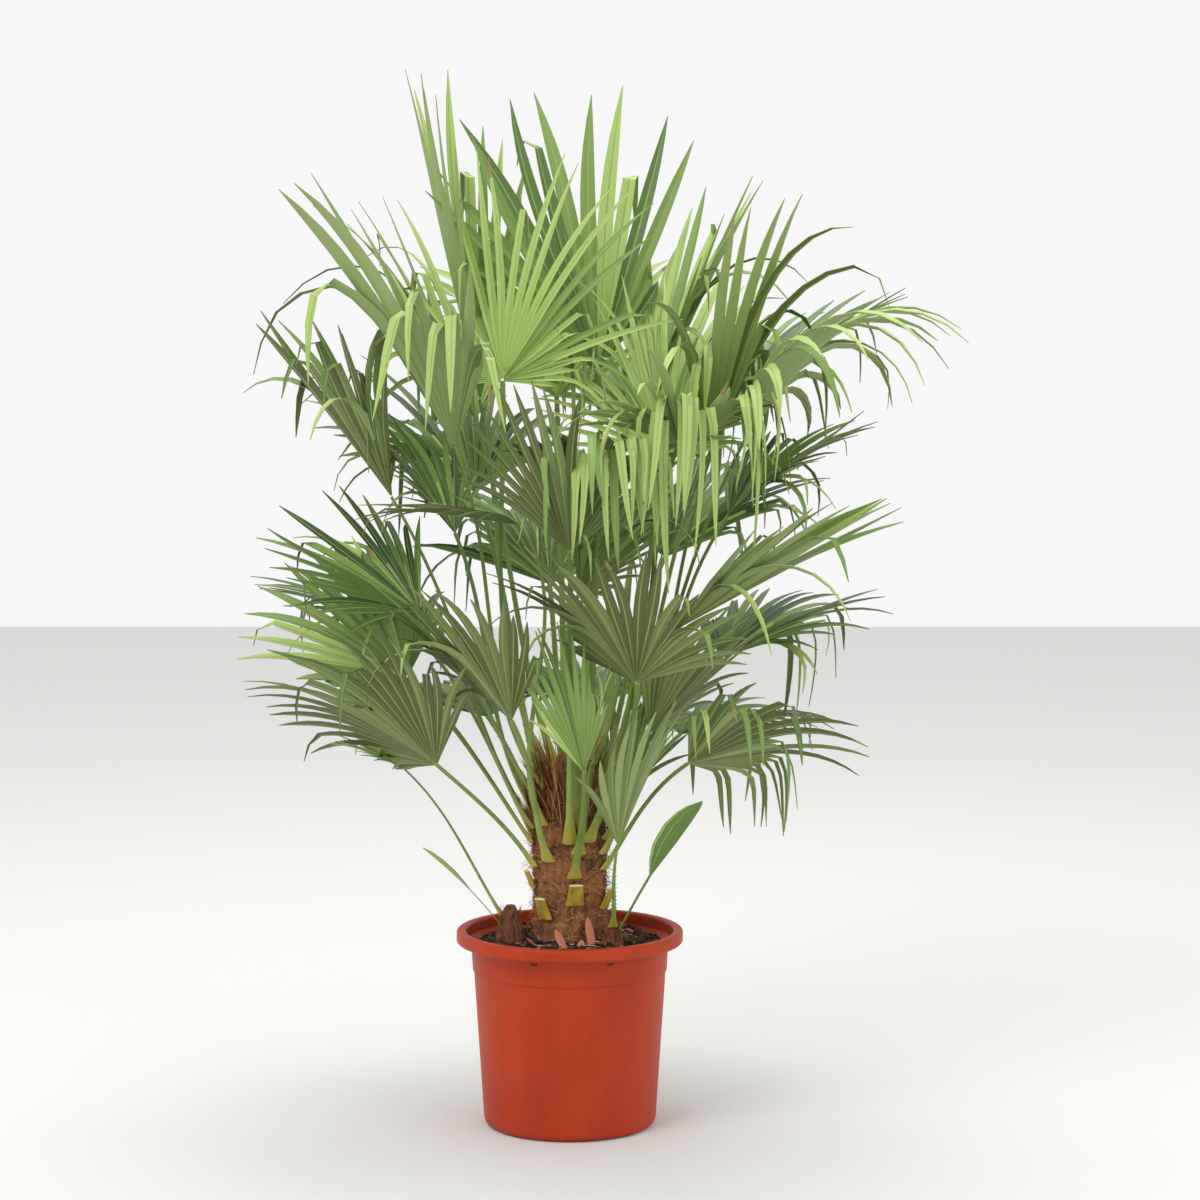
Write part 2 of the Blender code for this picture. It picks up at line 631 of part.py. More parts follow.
def make_blade(item, stations):
    sheet = Sheet([], [], [])
    add_strip(sheet, None, stations)
    return add_object(item.name, thicken(sheet), material("young_leaf", YOUNG_GREEN, 0.5))


def make_stub(item, tree):
    """A cut leaf base: a tapering wedge that leans out from the trunk."""
    turn = math.radians(item.turn)
    outward = Vector((math.cos(turn), math.sin(turn), 0.0))
    level = UP.cross(outward)
    lean = math.radians(STUB_LEAN)
    along = outward * math.sin(lean) + UP * math.cos(lean)
    foot = settle(outward * START_OUT + UP * (SOIL_TOP + item.height), outward, along, level, tree,
                  item.width, STUB_THICKNESS)
    face = level.cross(along)
    sheet = Sheet([], [], [])
    stations = []
    for part, width, thick in ((0.0, 1.0, 1.0), (0.5, 0.92, 0.9), (1.0, 0.78, 0.8)):
        half = level * item.width * 0.5 * width
        point = foot + along * item.length * part
        stations.append((point - half, point + half, face * STUB_THICKNESS * thick))
    add_strip(sheet, None, stations)
    return add_object(item.name, thicken(sheet), material("stub", STUB_YELLOW, 0.7))


def grow_palm():
    """Place stalks first, then the pleated fans, then each free segment where it is clear."""
    space = Space()
    for made in (make_pot(), make_soil(), make_spear()):
        space.add_object(made, made.name)
    trunk = make_trunk()
    space.add_object(trunk, "trunk")
    centres = {"trunk": Vector((0.0, 0.0, 0.0))}
    for shoot in SHOOTS:
        space.add_object(make_shoot(shoot), shoot.name)
        centres[shoot.name] = Vector((shoot.x, shoot.y, 0.0))
    for stub in STUBS:
        space.add_object(make_stub(stub, space.tree_of("trunk")), stub.name)
    stalks = {}
    for item in FANS:
        scale = 1.0 if item.carrier == "trunk" else SHOOT_STALK_SCALE
        stalks[item.name] = stalk_stations(item, space.tree_of(item.carrier),
                                           centres[item.carrier], scale)
        space.add(*slab(stalks[item.name], CLEARANCE), f"{item.name} stalk")
    for item in BLADES:
        stations = plan_blade(item, space.tree_of(item.carrier), centres[item.carrier])
        space.add(*slab(stations, CLEARANCE), item.name)
        make_blade(item, stations)
    splits = {}
    for item in FANS:
        for split in SPLITS:
            points, faces = pleat_slab(item, stalks[item.name], split, CLEARANCE)
            if not space.clashes(points, faces, skip=(f"{item.name} stalk",)):
                break
        splits[item.name] = split
        space.add(points, faces, f"{item.name} pleats")
    for item in FANS:
        segments = free_segments(item, splits[item.name], space)
        make_fan(item, stalks[item.name], splits[item.name], segments)


def free_segments(item, split, space):
    """The fan's free segments, each shortened until it is clear of all else, or left out."""
    segments = {}
    for segment in range(segment_count(item)):
        own = (f"{item.name} pleats", f"{item.name} {segment - 1}")
        for shorter in SHORTER:
            stations = segment_stations(item, segment, split, shorter)
            if space.clashes(*slab(stations, CLEARANCE), skip=own):
                continue
            beside = segments.get(segment - 1)
            if beside and crosses(segment_tail(stations), segment_tail(beside)):
                continue
            segments[segment] = stations
            space.add(*slab(stations, CLEARANCE), f"{item.name} {segment}")
            break
    return segments


def segment_tail(stations):
    """The segment beyond the place where it parts from its neighbours."""
    first, second = stations[0], stations[1]
    start = (first[0].lerp(second[0], 0.3), first[1].lerp(second[1], 0.3), second[2])
    return [start, *stations[1:]]


def crosses(stations, others):
    return bool(BVHTree.FromPolygons(*slab(stations)).overlap(BVHTree.FromPolygons(*slab(others))))


clear_scene()
grow_palm()
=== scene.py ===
"""Looks of the potted European fan palm: fine folded leaflets on spiny-edged stalks, a fibrous
trunk, loose soil with bark chips, and a faintly mottled terracotta-coloured pot.
Metres, +Z up. The origin is the centre of the pot's flat underside."""

import math
import random
from collections import namedtuple

import bmesh
import bpy
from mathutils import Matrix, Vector, kdtree, noise
from mathutils.bvhtree import BVHTree


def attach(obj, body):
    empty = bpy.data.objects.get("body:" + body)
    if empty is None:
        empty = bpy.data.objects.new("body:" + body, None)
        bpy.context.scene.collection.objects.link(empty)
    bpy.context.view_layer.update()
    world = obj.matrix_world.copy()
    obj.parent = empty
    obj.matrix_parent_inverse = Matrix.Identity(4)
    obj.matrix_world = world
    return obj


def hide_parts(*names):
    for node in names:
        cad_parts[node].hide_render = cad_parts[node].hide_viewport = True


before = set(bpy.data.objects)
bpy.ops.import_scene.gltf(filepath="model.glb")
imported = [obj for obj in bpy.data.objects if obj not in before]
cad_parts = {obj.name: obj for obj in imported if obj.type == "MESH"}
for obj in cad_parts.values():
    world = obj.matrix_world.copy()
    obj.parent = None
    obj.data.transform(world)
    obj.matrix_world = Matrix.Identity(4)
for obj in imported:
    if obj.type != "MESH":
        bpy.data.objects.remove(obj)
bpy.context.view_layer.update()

UP = Vector((0.0, 0.0, 1.0))

# Gap that keeps two pieces apart, and the reach within which a spun shape's points are joined
SEAT_GAP = 0.0004
WELD = 0.00005

# Pot
POT_HEIGHT = 0.260
RIM_RADIUS = 0.150
RIM_HEIGHT = 0.017
RIM_ROUND = 0.004
LIP_RADIUS = 0.137
FOOT_RADIUS = 0.1145
FOOT_ROUND = 0.010
STEP_HEIGHT = 0.206
STEP_RADIUS = 0.1272
STEP_DEPTH = 0.0016
NECK_RADIUS = 0.1335
WALL = 0.003
FLOOR = 0.005

# Soil
SOIL_TOP = 0.233

# Trunk: height above its foot on the soil, and radius
TRUNK_SHAPE = (
    (0.000, 0.0535), (0.016, 0.0505), (0.045, 0.0480), (0.080, 0.0470), (0.110, 0.0480),
    (0.135, 0.0490), (0.160, 0.0470), (0.185, 0.0425), (0.210, 0.0355), (0.232, 0.0270),
    (0.252, 0.0170), (0.264, 0.0080),
)
SCAR_RELIEF = 0.0016
SCAR_TURNS = 8
SCAR_PITCH = 0.034
SPEAR_LENGTH = 0.30
SPEAR_RADIUS = 0.006

# Side shoots: foot on the soil, height and radius at the foot
Shoot = namedtuple("Shoot", "name x y height radius")
SHOOTS = (
    Shoot("shoot_left", -0.078, -0.022, 0.062, 0.019),
    Shoot("shoot_right", 0.056, -0.052, 0.052, 0.014),
    Shoot("shoot_back", 0.020, 0.082, 0.045, 0.015),
)

# Cut leaf bases left on the trunk: turn round the trunk, height above the soil, width, length
Stub = namedtuple("Stub", "name turn height width length")
STUBS = (
    Stub("stub_front", -82, 0.068, 0.024, 0.030),
    Stub("stub_front_left", -128, 0.048, 0.022, 0.030),
    Stub("stub_left", -160, 0.086, 0.016, 0.024),
    Stub("stub_right", -28, 0.060, 0.022, 0.028),
    Stub("stub_back", 75, 0.060, 0.023, 0.030),
    Stub("stub_back_left", 128, 0.078, 0.022, 0.028),
)
STUB_THICKNESS = 0.008
STUB_LEAN = 24

# Fans. height is that of the stalk's foot above the soil. Angles are in degrees: turn is the
# heading of the fan's middle line, from +X towards +Y, rise its slope, roll its twist about that
# line, spread the half angle of the fan, and cup the fold of its two halves towards the upper
# face. droop is how much the segments sag, bent the share of them that have snapped over, and
# snap the fraction of their length where they did.
Fan = namedtuple("Fan", "name carrier height hub turn rise roll reach spread cup droop bent snap")


def fan(name, height, hub, turn, rise, reach, spread, roll=0, cup=12, droop=0.25, bent=0.0,
        snap=0.55, carrier="trunk"):
    return Fan(name, carrier, height, Vector(hub), turn, rise, roll, reach, spread, cup, droop,
               bent, snap)


FANS = (
    fan("low_front", 0.104, (0.020, -0.150, 0.490), 166, 78, 0.20, 32, roll=-76, cup=10),
    fan("right_low", 0.112, (0.154, -0.080, 0.492), -10, 14, 0.25, 74, roll=-35, droop=0.5,
        bent=0.3),
    fan("left_low", 0.116, (-0.171, -0.080, 0.490), -175, 36, 0.28, 78, roll=35, droop=0.5,
        bent=0.2),
    fan("back_low_left", 0.114, (-0.115, 0.185, 0.520), 122, 12, 0.26, 75, droop=0.5, bent=0.2),
    fan("back_low_right", 0.116, (0.150, 0.150, 0.500), 42, 8, 0.26, 75, droop=0.5, bent=0.2),
    fan("right_dark", 0.134, (0.104, -0.070, 0.530), 15, 45, 0.21, 62, roll=-50, cup=20),
    fan("left_centre", 0.126, (-0.073, -0.120, 0.553), -157, 46, 0.26, 62, roll=15, cup=20),
    fan("back_low", 0.126, (0.020, 0.220, 0.530), 86, 15, 0.26, 75, droop=0.5, bent=0.2),
    fan("front_folded", 0.136, (0.030, -0.130, 0.500), -60, 72, 0.20, 22, cup=60, droop=0.05),
    fan("left_fan", 0.146, (-0.210, -0.050, 0.601), 166, 30, 0.24, 84, roll=-55),
    fan("centre_olive", 0.152, (0.086, -0.150, 0.605), -125, 46, 0.26, 84, cup=15),
    fan("right_back_mid", 0.142, (0.205, 0.105, 0.610), 28, 22, 0.27, 72, droop=0.4, bent=0.2),
    fan("left_back_mid", 0.142, (-0.200, 0.120, 0.630), 148, 22, 0.27, 72, droop=0.4, bent=0.2),
    fan("right_mid", 0.152, (0.140, -0.060, 0.665), -9, 28, 0.34, 46, cup=25, droop=0.1),
    fan("left_mid", 0.164, (-0.195, -0.020, 0.683), 180, 31, 0.24, 66, roll=-30, droop=0.1),
    fan("back_mid", 0.150, (-0.030, 0.230, 0.700), 98, 32, 0.29, 75, droop=0.4, bent=0.2),
    fan("centre_back", 0.170, (0.012, -0.060, 0.710), 17, 42, 0.23, 70, roll=-40),
    fan("centre_upper", 0.150, (0.002, -0.150, 0.771), -95, 63, 0.25, 62, cup=25),
    fan("back_mid_right", 0.164, (0.130, 0.200, 0.740), 52, 35, 0.29, 72, droop=0.4, bent=0.3),
    fan("left_flat", 0.172, (-0.065, -0.060, 0.800), 176, 8, 0.22, 76, droop=0.3, bent=0.2),
    fan("left_upper_back", 0.180, (-0.152, 0.040, 0.783), 154, 52, 0.20, 62, cup=20),
    fan("back_upper_left", 0.178, (-0.130, 0.185, 0.830), 128, 42, 0.31, 70, droop=0.4, bent=0.3),
    fan("right_mid_upper", 0.172, (0.209, 0.020, 0.808), 18, 35, 0.24, 62, cup=18),
    fan("left_upper", 0.198, (-0.233, 0.000, 0.833), -174, 52, 0.30, 46, cup=40, droop=0.1),
    fan("right_top_outer", 0.190, (0.186, -0.020, 0.892), -15, 65, 0.38, 58, cup=30, bent=0.45,
        snap=0.42),
    fan("left_top_outer", 0.216, (-0.149, -0.020, 0.899), -163, 57, 0.43, 56, cup=32, bent=0.2),
    fan("right_far", 0.212, (0.227, -0.050, 0.909), -19, 52, 0.37, 58, droop=2.3, bent=0.3,
        snap=0.45),
    fan("front_right", 0.200, (0.140, -0.110, 0.905), -62, 30, 0.30, 80, droop=0.7, bent=0.6,
        snap=0.4),
    fan("front_middle", 0.206, (0.035, -0.120, 0.850), -95, 35, 0.27, 78, droop=0.8, bent=0.6,
        snap=0.4),
    fan("right_upper", 0.206, (0.228, 0.110, 0.957), 18, 33, 0.28, 62, cup=18, droop=0.2),
    fan("back_upper_right", 0.204, (0.120, 0.210, 0.900), 58, 50, 0.33, 70, droop=0.4, bent=0.3),
    fan("left_top_inner", 0.218, (-0.121, 0.100, 0.958), 163, 76, 0.46, 36, cup=30, droop=0.1),
    fan("back_upper", 0.216, (-0.020, 0.235, 0.960), 96, 55, 0.33, 70, droop=0.4, bent=0.3),
    fan("left_back_top", 0.234, (-0.130, 0.175, 0.930), 146, 62, 0.36, 55, cup=20, droop=0.2),
    fan("right_top_inner", 0.226, (0.114, 0.100, 0.957), 17, 64, 0.33, 52, cup=25, droop=0.15),
    fan("face_right", 0.226, (0.125, -0.020, 0.885), 75, 78, 0.26, 84, cup=8, bent=0.2, snap=0.5),
    fan("face_upper", 0.240, (-0.088, 0.020, 0.984), 76, 79, 0.32, 98, cup=6, bent=0.25, snap=0.5),
    fan("back_top", 0.240, (0.037, 0.160, 0.994), 142, 73, 0.41, 52, roll=-35, cup=20, droop=0.05),
    fan("shoot_left_fan", 0.050, (-0.219, 0.020, 0.470), 174, 25, 0.11, 60, carrier="shoot_left"),
    fan("shoot_right_fan", 0.042, (0.063, -0.120, 0.392), -27, 67, 0.22, 50, cup=20,
        carrier="shoot_right"),
    fan("shoot_back_fan", 0.036, (0.060, 0.170, 0.400), 60, 55, 0.20, 55, cup=20,
        carrier="shoot_back"),
)

# How a fan's construction node is laid out: its segments, where they may part, how much of one
# may be kept, its pleats, and how a segment bends and falls
SEGMENT_ANGLE = 13.5
LEAST_SEGMENTS = 7
SPLITS = (0.42, 0.34, 0.26, 0.18)
SHORTER = (1.0, 0.86, 0.72, 0.58, 0.46)
PLEAT_ANGLE = math.radians(20)
STIFF_PART = 0.3
SNAP_CARRY = 0.45
DROOP_RATE = 2.0
TIP_FALL = 0.34
RIB_STEPS = 12
ON_MIDDLE = 1e-6

# Leaf stalks: fraction along the stalk, width and thickness
STALK_SHAPE = ((0.0, 0.0170, 0.0080), (0.10, 0.0110, 0.0070), (0.40, 0.0084, 0.0062),
               (0.72, 0.0074, 0.0056), (0.97, 0.0070, 0.0050), (1.0, 0.0070, 0.0050))
SHOOT_STALK_SCALE = 0.62
STALK_LEAN = 34
STALK_PULL = 0.36
STALK_FOLLOW = 0.8
START_OUT = 0.09

# How a stalk's foot is slid on to what carries it: most steps, share of the way in each, and how
# many times the least gap is close enough
SETTLE_STEPS = 40
SETTLE_PACE = 0.8
SETTLE_CLOSE = 1.15

# Young leaves that have not split: carrier, height of the foot, tip and width
Blade = namedtuple("Blade", "name carrier height tip width")
BLADES = (
    Blade("young_blade_right", "shoot_right", 0.036, Vector((0.170, -0.130, 0.450)), 0.046),
    Blade("young_blade_left", "shoot_left", 0.040, Vector((-0.190, -0.070, 0.380)), 0.015),
    Blade("young_blade_back", "shoot_back", 0.030, Vector((-0.060, 0.190, 0.430)), 0.034),
)
BLADE_SHAPE = ((0.0, 0.12), (0.38, 0.14), (0.55, 0.72), (0.72, 1.0), (0.88, 0.62), (1.0, 0.0))
BLADE_THICKNESS = 0.0030
BLADE_START_OUT = 0.05

# Fine leaflets. Parts and ends are fractions of a leaflet's length, and up to HUB_WIDTH_PART it
# keeps the width that it has there. The thickness and the least half width are in metres. A pair
# of numbers is the range of a random draw.
LEAFLETS_PER_SEGMENT = 2
LEAFLET_STEPS = 11
LEAFLET_START = 0.010
HUB_WIDTH_PART = 0.055
LEAFLET_THICKNESS = 0.0008
LEAFLET_TAPER = 3.0
LEAFLET_FULLNESS = 1.12
LEAST_HALF = 0.0004
LEAST_FREE_PART = 0.02
RIB_SHARE = 0.11
FOLD_AT_HUB = math.radians(36)
FOLD_AT_TIP = math.radians(15)
TWIST = math.radians(26)
SWAY = 0.055
LIFT = 0.06
DROOP_FACTORS = (0.8, 1.6)
DROOP_EXTRAS = (0.0, 0.12)
LEAFLET_END_RANGE = (0.93, 1.0)

# Leaflets that hang, and upright ones with a bent or a dry tip
HANGING_SNAP_RANGE = (0.72, 1.30)
LATEST_SNAP = 0.85
HANGING_NARROWING = (0.55, 0.85)
NARROWING_RATE = 4.0
HANGING_END = 0.92
HANGING_END_RANGE = (0.86, 1.0)
BENT_TIP_SHARE = 0.17
BENT_TIP_RANGE = (0.66, 0.86)
DRY_TIP_SHARE = 0.05

# Free strips that arch out of a fan, and how many each fan has
ARCH_DROOP = (1.0, 3.2)
ARCH_REACH = (0.95, 1.15)
ARCHING = {
    "face_upper": 5, "face_right": 7, "front_right": 8, "front_middle": 8,
    "right_top_outer": 6, "right_top_inner": 5, "right_upper": 5, "right_mid_upper": 5,
    "left_top_outer": 5, "left_upper": 3, "left_upper_back": 5, "centre_back": 5,
    "left_back_top": 4, "back_upper": 5, "back_upper_left": 5, "back_upper_right": 5,
    "centre_olive": 3, "left_mid": 4, "left_centre": 3, "right_mid": 2, "back_mid": 3,
    "back_mid_right": 4, "left_back_mid": 3, "right_back_mid": 3,
}

# How near a corner of the construction node shows that it took a choice, and what is left of a
# segment that it left out
CORNER_REACH = 0.0030
STUMP_LENGTH = 0.10

# Stalks: bands are the tone of each step from the foot up, and the last goes on to the hub
STALK_STEPS = 20
STALK_SIDES = 10
STALK_FLATNESS = 0.55
STALK_FOOT_FLARE = 1.25
FLARE_FADE = 9.0
STALK_BANDS = (0, 1, 2, 3, 3, 3, 3, 4)
SPINES_FROM = 4
SPINE_PITCH = 0.014
SPINE_LENGTH = 0.0034
SPINE_FOOT = 0.0008
SPINE_HEEL = 1.6
SPINE_OUT = 0.46
SPINE_SLANT = 1.1
SPINE_TONE = 2
SPINE_FACES = ((0, 1, 2), (0, 3, 1), (1, 3, 2), (2, 3, 0))

# Young leaves: the fine shape is the fraction along the leaf and its width there
BLADE_STEPS = 18
BLADE_ARCH = 0.08
BLADE_FULLNESS = 1.5
BLADE_STALK_WIDTH = 0.3
BLADE_LEAST_WIDTH = 0.03
BLADE_PLEATS = 6
BLADE_FOLD = 0.38
BLADE_FOLD_FALL = 0.5
BLADE_CUP = 0.3
BLADE_FINE_SHAPE = ((0.0, 0.12), (0.40, 0.15), (0.50, 0.55), (0.62, 0.90), (0.78, 1.0),
                    (0.90, 0.78), (0.97, 0.40), (1.0, 0.06))

# Furled leaf: widths are shares of SPEAR_RADIUS
SPEAR_STEPS = 25
SPEAR_SIDES = 32
SPEAR_WIDEST = 0.33
SPEAR_FOOT_WIDTH = 0.8
SPEAR_SWELL = 0.6
SPEAR_TAPER = 1.5
SPEAR_PLEATS = 8
SPEAR_PLEAT_DEPTH = 0.10

# Relief of the stems: old leaf bases, the run of the fibres and a rough grain
CORE_RADIUS = 0.006
FIBRE_RIBS = 22
FIBRE_SLANT = 260.0
FIBRE_SHARE = 0.6
ROUGH_SHARE = 0.9
BARK_GRAIN = 160
BARK_GRAIN_UP = 60

# Loose fibres
STRAND_STEPS = 3
STRAND_TAPER = 0.85
NEARLY_UPRIGHT = 0.9
FIBRE_TONES = 3

# Trunk, with tufts all over and fibres of old sheaths round its upper part
TRUNK_SEED = 31
TRUNK_FINE_SIDES = 128
TRUNK_FINE_STEP = 0.0035
FIBRE_RELIEF = 0.0016
TUFTS = 1500
TUFT_HEIGHTS = (0.004, 0.205)
TUFT_OUT = (0.06, 0.5)
TUFT_UP = (-0.4, 1.0)
TUFT_ROUND = (-1.3, 1.3)
TUFT_LENGTH = 0.020
TUFT_LENGTHS = (0.4, 1.3)
TUFT_WIDTH = 0.0011
TUFT_DROOP = (0.0, 0.5)
SHEATHS = 26
GOLDEN_TURN = math.radians(137.5)
SHEATH_LOWEST = 0.150
SHEATH_RISE = 0.085
SHEATH_FIBRES = 26
SHEATH_OUT = (0.10, 0.55)
SHEATH_ROUND = (-0.35, 0.35)
SHEATH_ASIDE = (-0.012, 0.012)
SHEATH_LENGTHS = (0.03, 0.075)
SHEATH_WIDTH = 0.0022
SHEATH_DROOP = (0.0, 0.2)

# Side shoots: the shape is the fraction of the height and of the radius there
SHOOT_SEED = 17
SHOOT_SHAPE = ((0.0, 1.0), (0.35, 0.96), (0.75, 0.66), (1.0, 0.30))
SHOOT_FINE_STEP = 0.003
SHOOT_FINE_SIDES = 64
SHOOT_RELIEF = 0.0009
SHOOT_FIBRES = 110
SHOOT_FIBRE_PLACES = (0.0, 0.8)
SHOOT_TAPER = 0.50
SHOOT_FIBRE_OUT = (0.05, 0.35)
SHOOT_FIBRE_ROUND = (-0.3, 0.3)
SHOOT_FIBRE_LENGTHS = (0.007, 0.020)
SHOOT_FIBRE_WIDTH = 0.0016
SHOOT_FIBRE_DROOP = (0.0, 0.2)

# Cut leaf bases
STUB_STEPS = 5
STUB_SIDES = 14
STUB_NARROWING = 0.22
STUB_THINNING = 0.2
STUB_FLATNESS = 0.6

# Soil: its mound round the stem, and the two noises of its relief, which calms at the pot
SOIL_RINGS = 34
SOIL_FINE_SIDES = 110
SOIL_LIFT = 0.007
SOIL_RELIEF = 0.0042
SOIL_CALM_RADIUS = 0.124
SOIL_CALM_POWER = 6
LUMP_GRAIN = 45
LUMP_LEVEL = 3.1
GRIT_GRAIN = 130
GRIT_LEVEL = 7.7
GRIT_SHARE = 0.5
MOUND = 0.011
MOUND_REACH = 0.050
MOUND_SPREAD = 0.045

# Crumbs and lumps of soil; stand is how far a piece is raised, as a share of its size
LITTER_SEED = 5
CRUMBS = 1300
LUMPS = 70
CRUMB_REACH = (0.056, 0.122)
CRUMB_SIZES = (0.0009, 0.0036)
LUMP_SIZES = (0.0040, 0.0085)
CRUMB_STAND = 0.2
CRUMB_ROUGHNESS = (0.65, 1.2)
CRUMB_TONES = (0, 0, 1, 2)

# Bark chips: sizes are length, width and thickness; a shape is fraction along and size there
CHIPS = 46
CHIP_REACH = (0.054, 0.115)
CHIP_SLOPES = (-0.2, 0.35)
CHIP_SIZES = ((0.008, 0.021), (0.004, 0.010), (0.0015, 0.004))
CHIP_STAND = 0.7
CHIP_SHAPE = ((-0.5, 0.35), (-0.38, 0.9), (0.1, 1.0), (0.4, 0.75), (0.5, 0.3))
CHIP_SIDES = 7
CHIP_ROUGHNESS = (0.78, 1.1)
CHIP_TONES = (0, 1, 1, 2)

# Large bark chips that lean by the stem: place on the soil, heading, lean, length and width
LEANING_CHIPS = (
    (-0.004, -0.074, 128, 48, 0.034, 0.014), (0.012, -0.080, 80, 30, 0.026, 0.012),
    (0.030, -0.062, 112, 66, 0.040, 0.013), (-0.036, -0.066, 160, 30, 0.024, 0.011),
    (0.055, 0.020, 40, 35, 0.028, 0.012), (-0.052, 0.040, 200, 30, 0.026, 0.012),
)
LEANING_SHAPE = ((0.0, 0.7), (0.2, 0.95), (0.55, 1.0), (0.85, 0.7), (1.0, 0.25))
LEANING_DEPTH = 0.003
LEANING_ROUGHNESS = (0.8, 1.1)
LEANING_THICKNESS = 0.16
LEANING_TONES = (0, 1, 1)

# Straws
STRAWS = 34
STRAW_REACH = (0.058, 0.100)
STRAW_SLOPES = (0.0, 0.25)
STRAW_STAND = 0.002
STRAW_LENGTHS = (0.012, 0.028)
STRAW_WIDTH = 0.0016
STRAW_DROOP = 0.15

# Pot: the step's edge as distance out and up, and the neck as radius and distance below the rim
POT_FINE_SIDES = 144
FOOT_ARC = (-90, -4, 10)
WALL_ROWS = 24
RIM_STEPS = 8
STEP_EDGE = ((0.0, 0.0), (0.0002, 0.0006), (STEP_DEPTH, 0.0014))
NECK_EDGE = ((STEP_RADIUS + 0.0028, 0.014), (NECK_RADIUS - 0.002, 0.006), (NECK_RADIUS, 0.0006),
             (NECK_RADIUS + 0.0008, 0.0))
LIP_DRAFT = 0.0010
LIP_FOOT = 0.002
LEDGE_DROP = 0.006
# Notches below the rim, drawn as dark blocks set into the wall that are painted shade for the
# recesses: turns round the pot, size, depth, drop and bevel
NOTCHES = (-110, -66, 20, 95, 160)
NOTCH_SIZE = (0.0016, 0.0085, 0.0042)
NOTCH_DEPTH = 0.0022
NOTCH_DROP = 0.0064
NOTCH_BEVEL = 0.0005

# Pieces of the crown, by where a fan's hub is
BACK_FROM = 0.08
LEFT_FROM = -0.05
RIGHT_FROM = 0.10

# Leaf colours: the rows run from dark to bright, and a fan's tones are places in them
UPPER_TONES = ("dark", "mid", "fresh", "bright")
UNDER_TONES = ("olive", "grey", "silver")
LEAF_TONES = {
    "dark": (0.20, 0.31, 0.11), "mid": (0.33, 0.45, 0.19), "fresh": (0.47, 0.59, 0.28),
    "bright": (0.65, 0.75, 0.41), "olive": (0.34, 0.39, 0.20), "grey": (0.43, 0.50, 0.28),
    "silver": (0.55, 0.63, 0.39), "rib": (0.55, 0.63, 0.33), "dry": (0.58, 0.48, 0.28),
}
LEAF_ROUGHNESS = 0.52
# Fans with their hub above HIGH_HUB take brighter tones than low fans: painted light on the top of
# the crown and painted shade on its lower part
HIGH_HUB = 0.85
LIT_HIGH_TONES = (2, 1)
SHADED_LOW_TONES = (1, 0)
UPPER_SHIFTS = (-1, 0, 0, 0, 1)
UNDER_SHIFTS = (0, 0, 1)
ARCH_TONES = ("fresh", "bright", "bright")

# Fans that are not of their height's usual tones: upper and under tone. The dark tones of
# right_dark are painted shade, as that fan lies in the crown's shade.
FAN_TONES = {
    "low_front": (2, 1), "front_folded": (2, 2), "right_dark": (0, 0), "centre_olive": (1, 0),
    "left_centre": (1, 0), "left_low": (0, 0), "left_fan": (2, 1), "left_flat": (1, 0),
    "right_mid": (2, 1), "right_far": (2, 2), "right_top_outer": (2, 1), "right_upper": (0, 0),
    "front_right": (2, 2), "front_middle": (1, 0), "face_right": (2, 1), "face_upper": (2, 1),
    "centre_upper": (1, 0), "centre_back": (2, 1), "shoot_right_fan": (2, 1),
    "shoot_left_fan": (3, 2), "left_top_outer": (1, 1), "back_top": (1, 1),
}

# Plain finishes of each kind of piece: name, display colour and roughness
FINISHES = {
    "stalk": (("stalk_foot", (0.68, 0.65, 0.26), 0.45), ("stalk_low", (0.63, 0.64, 0.27), 0.45),
              ("stalk_middle", (0.58, 0.63, 0.28), 0.45), ("stalk_green", (0.51, 0.60, 0.28), 0.45),
              ("stalk_high", (0.44, 0.54, 0.24), 0.45)),
    # The young leaf's first two tones are painted light and painted shade on its pleats: facets
    # that slope one way are lit, those that slope the other way shaded
    "young_leaf": (("young_crest", (0.60, 0.69, 0.36), 0.45),
                   ("young_groove", (0.37, 0.50, 0.21), 0.5),
                   ("young_edge", (0.45, 0.56, 0.26), 0.5)),
    "spear": (("spear_green", (0.52, 0.64, 0.30), 0.45),),
    "tuft": (("fibre_dark", (0.26, 0.14, 0.09), 0.9), ("fibre_brown", (0.50, 0.31, 0.19), 0.9),
             ("fibre_straw", (0.72, 0.56, 0.36), 0.9)),
    "shoot_fibre": (("shoot_fibre_dark", (0.24, 0.14, 0.09), 0.9),
                    ("shoot_fibre_red", (0.48, 0.27, 0.18), 0.9),
                    ("shoot_fibre_straw", (0.62, 0.50, 0.32), 0.9)),
    "stub_cut": (("stub_cut", (0.86, 0.82, 0.60), 0.8),),
    "crumb": (("crumb_black", (0.12, 0.09, 0.07), 0.95), ("crumb_brown", (0.24, 0.17, 0.12), 0.95),
              ("crumb_light", (0.36, 0.27, 0.19), 0.95)),
    "chip": (("chip_red", (0.62, 0.34, 0.26), 0.85), ("chip_salmon", (0.74, 0.47, 0.37), 0.85),
             ("chip_brown", (0.40, 0.27, 0.20), 0.85)),
    "straw": (("straw", (0.78, 0.68, 0.46), 0.8),),
    # Painted shade of the notches under the rim
    "notch": (("notch_dark", (0.30, 0.10, 0.06), 0.7),),
    "floor": (("floor_pale", (0.86, 0.86, 0.85), 0.9),),
}

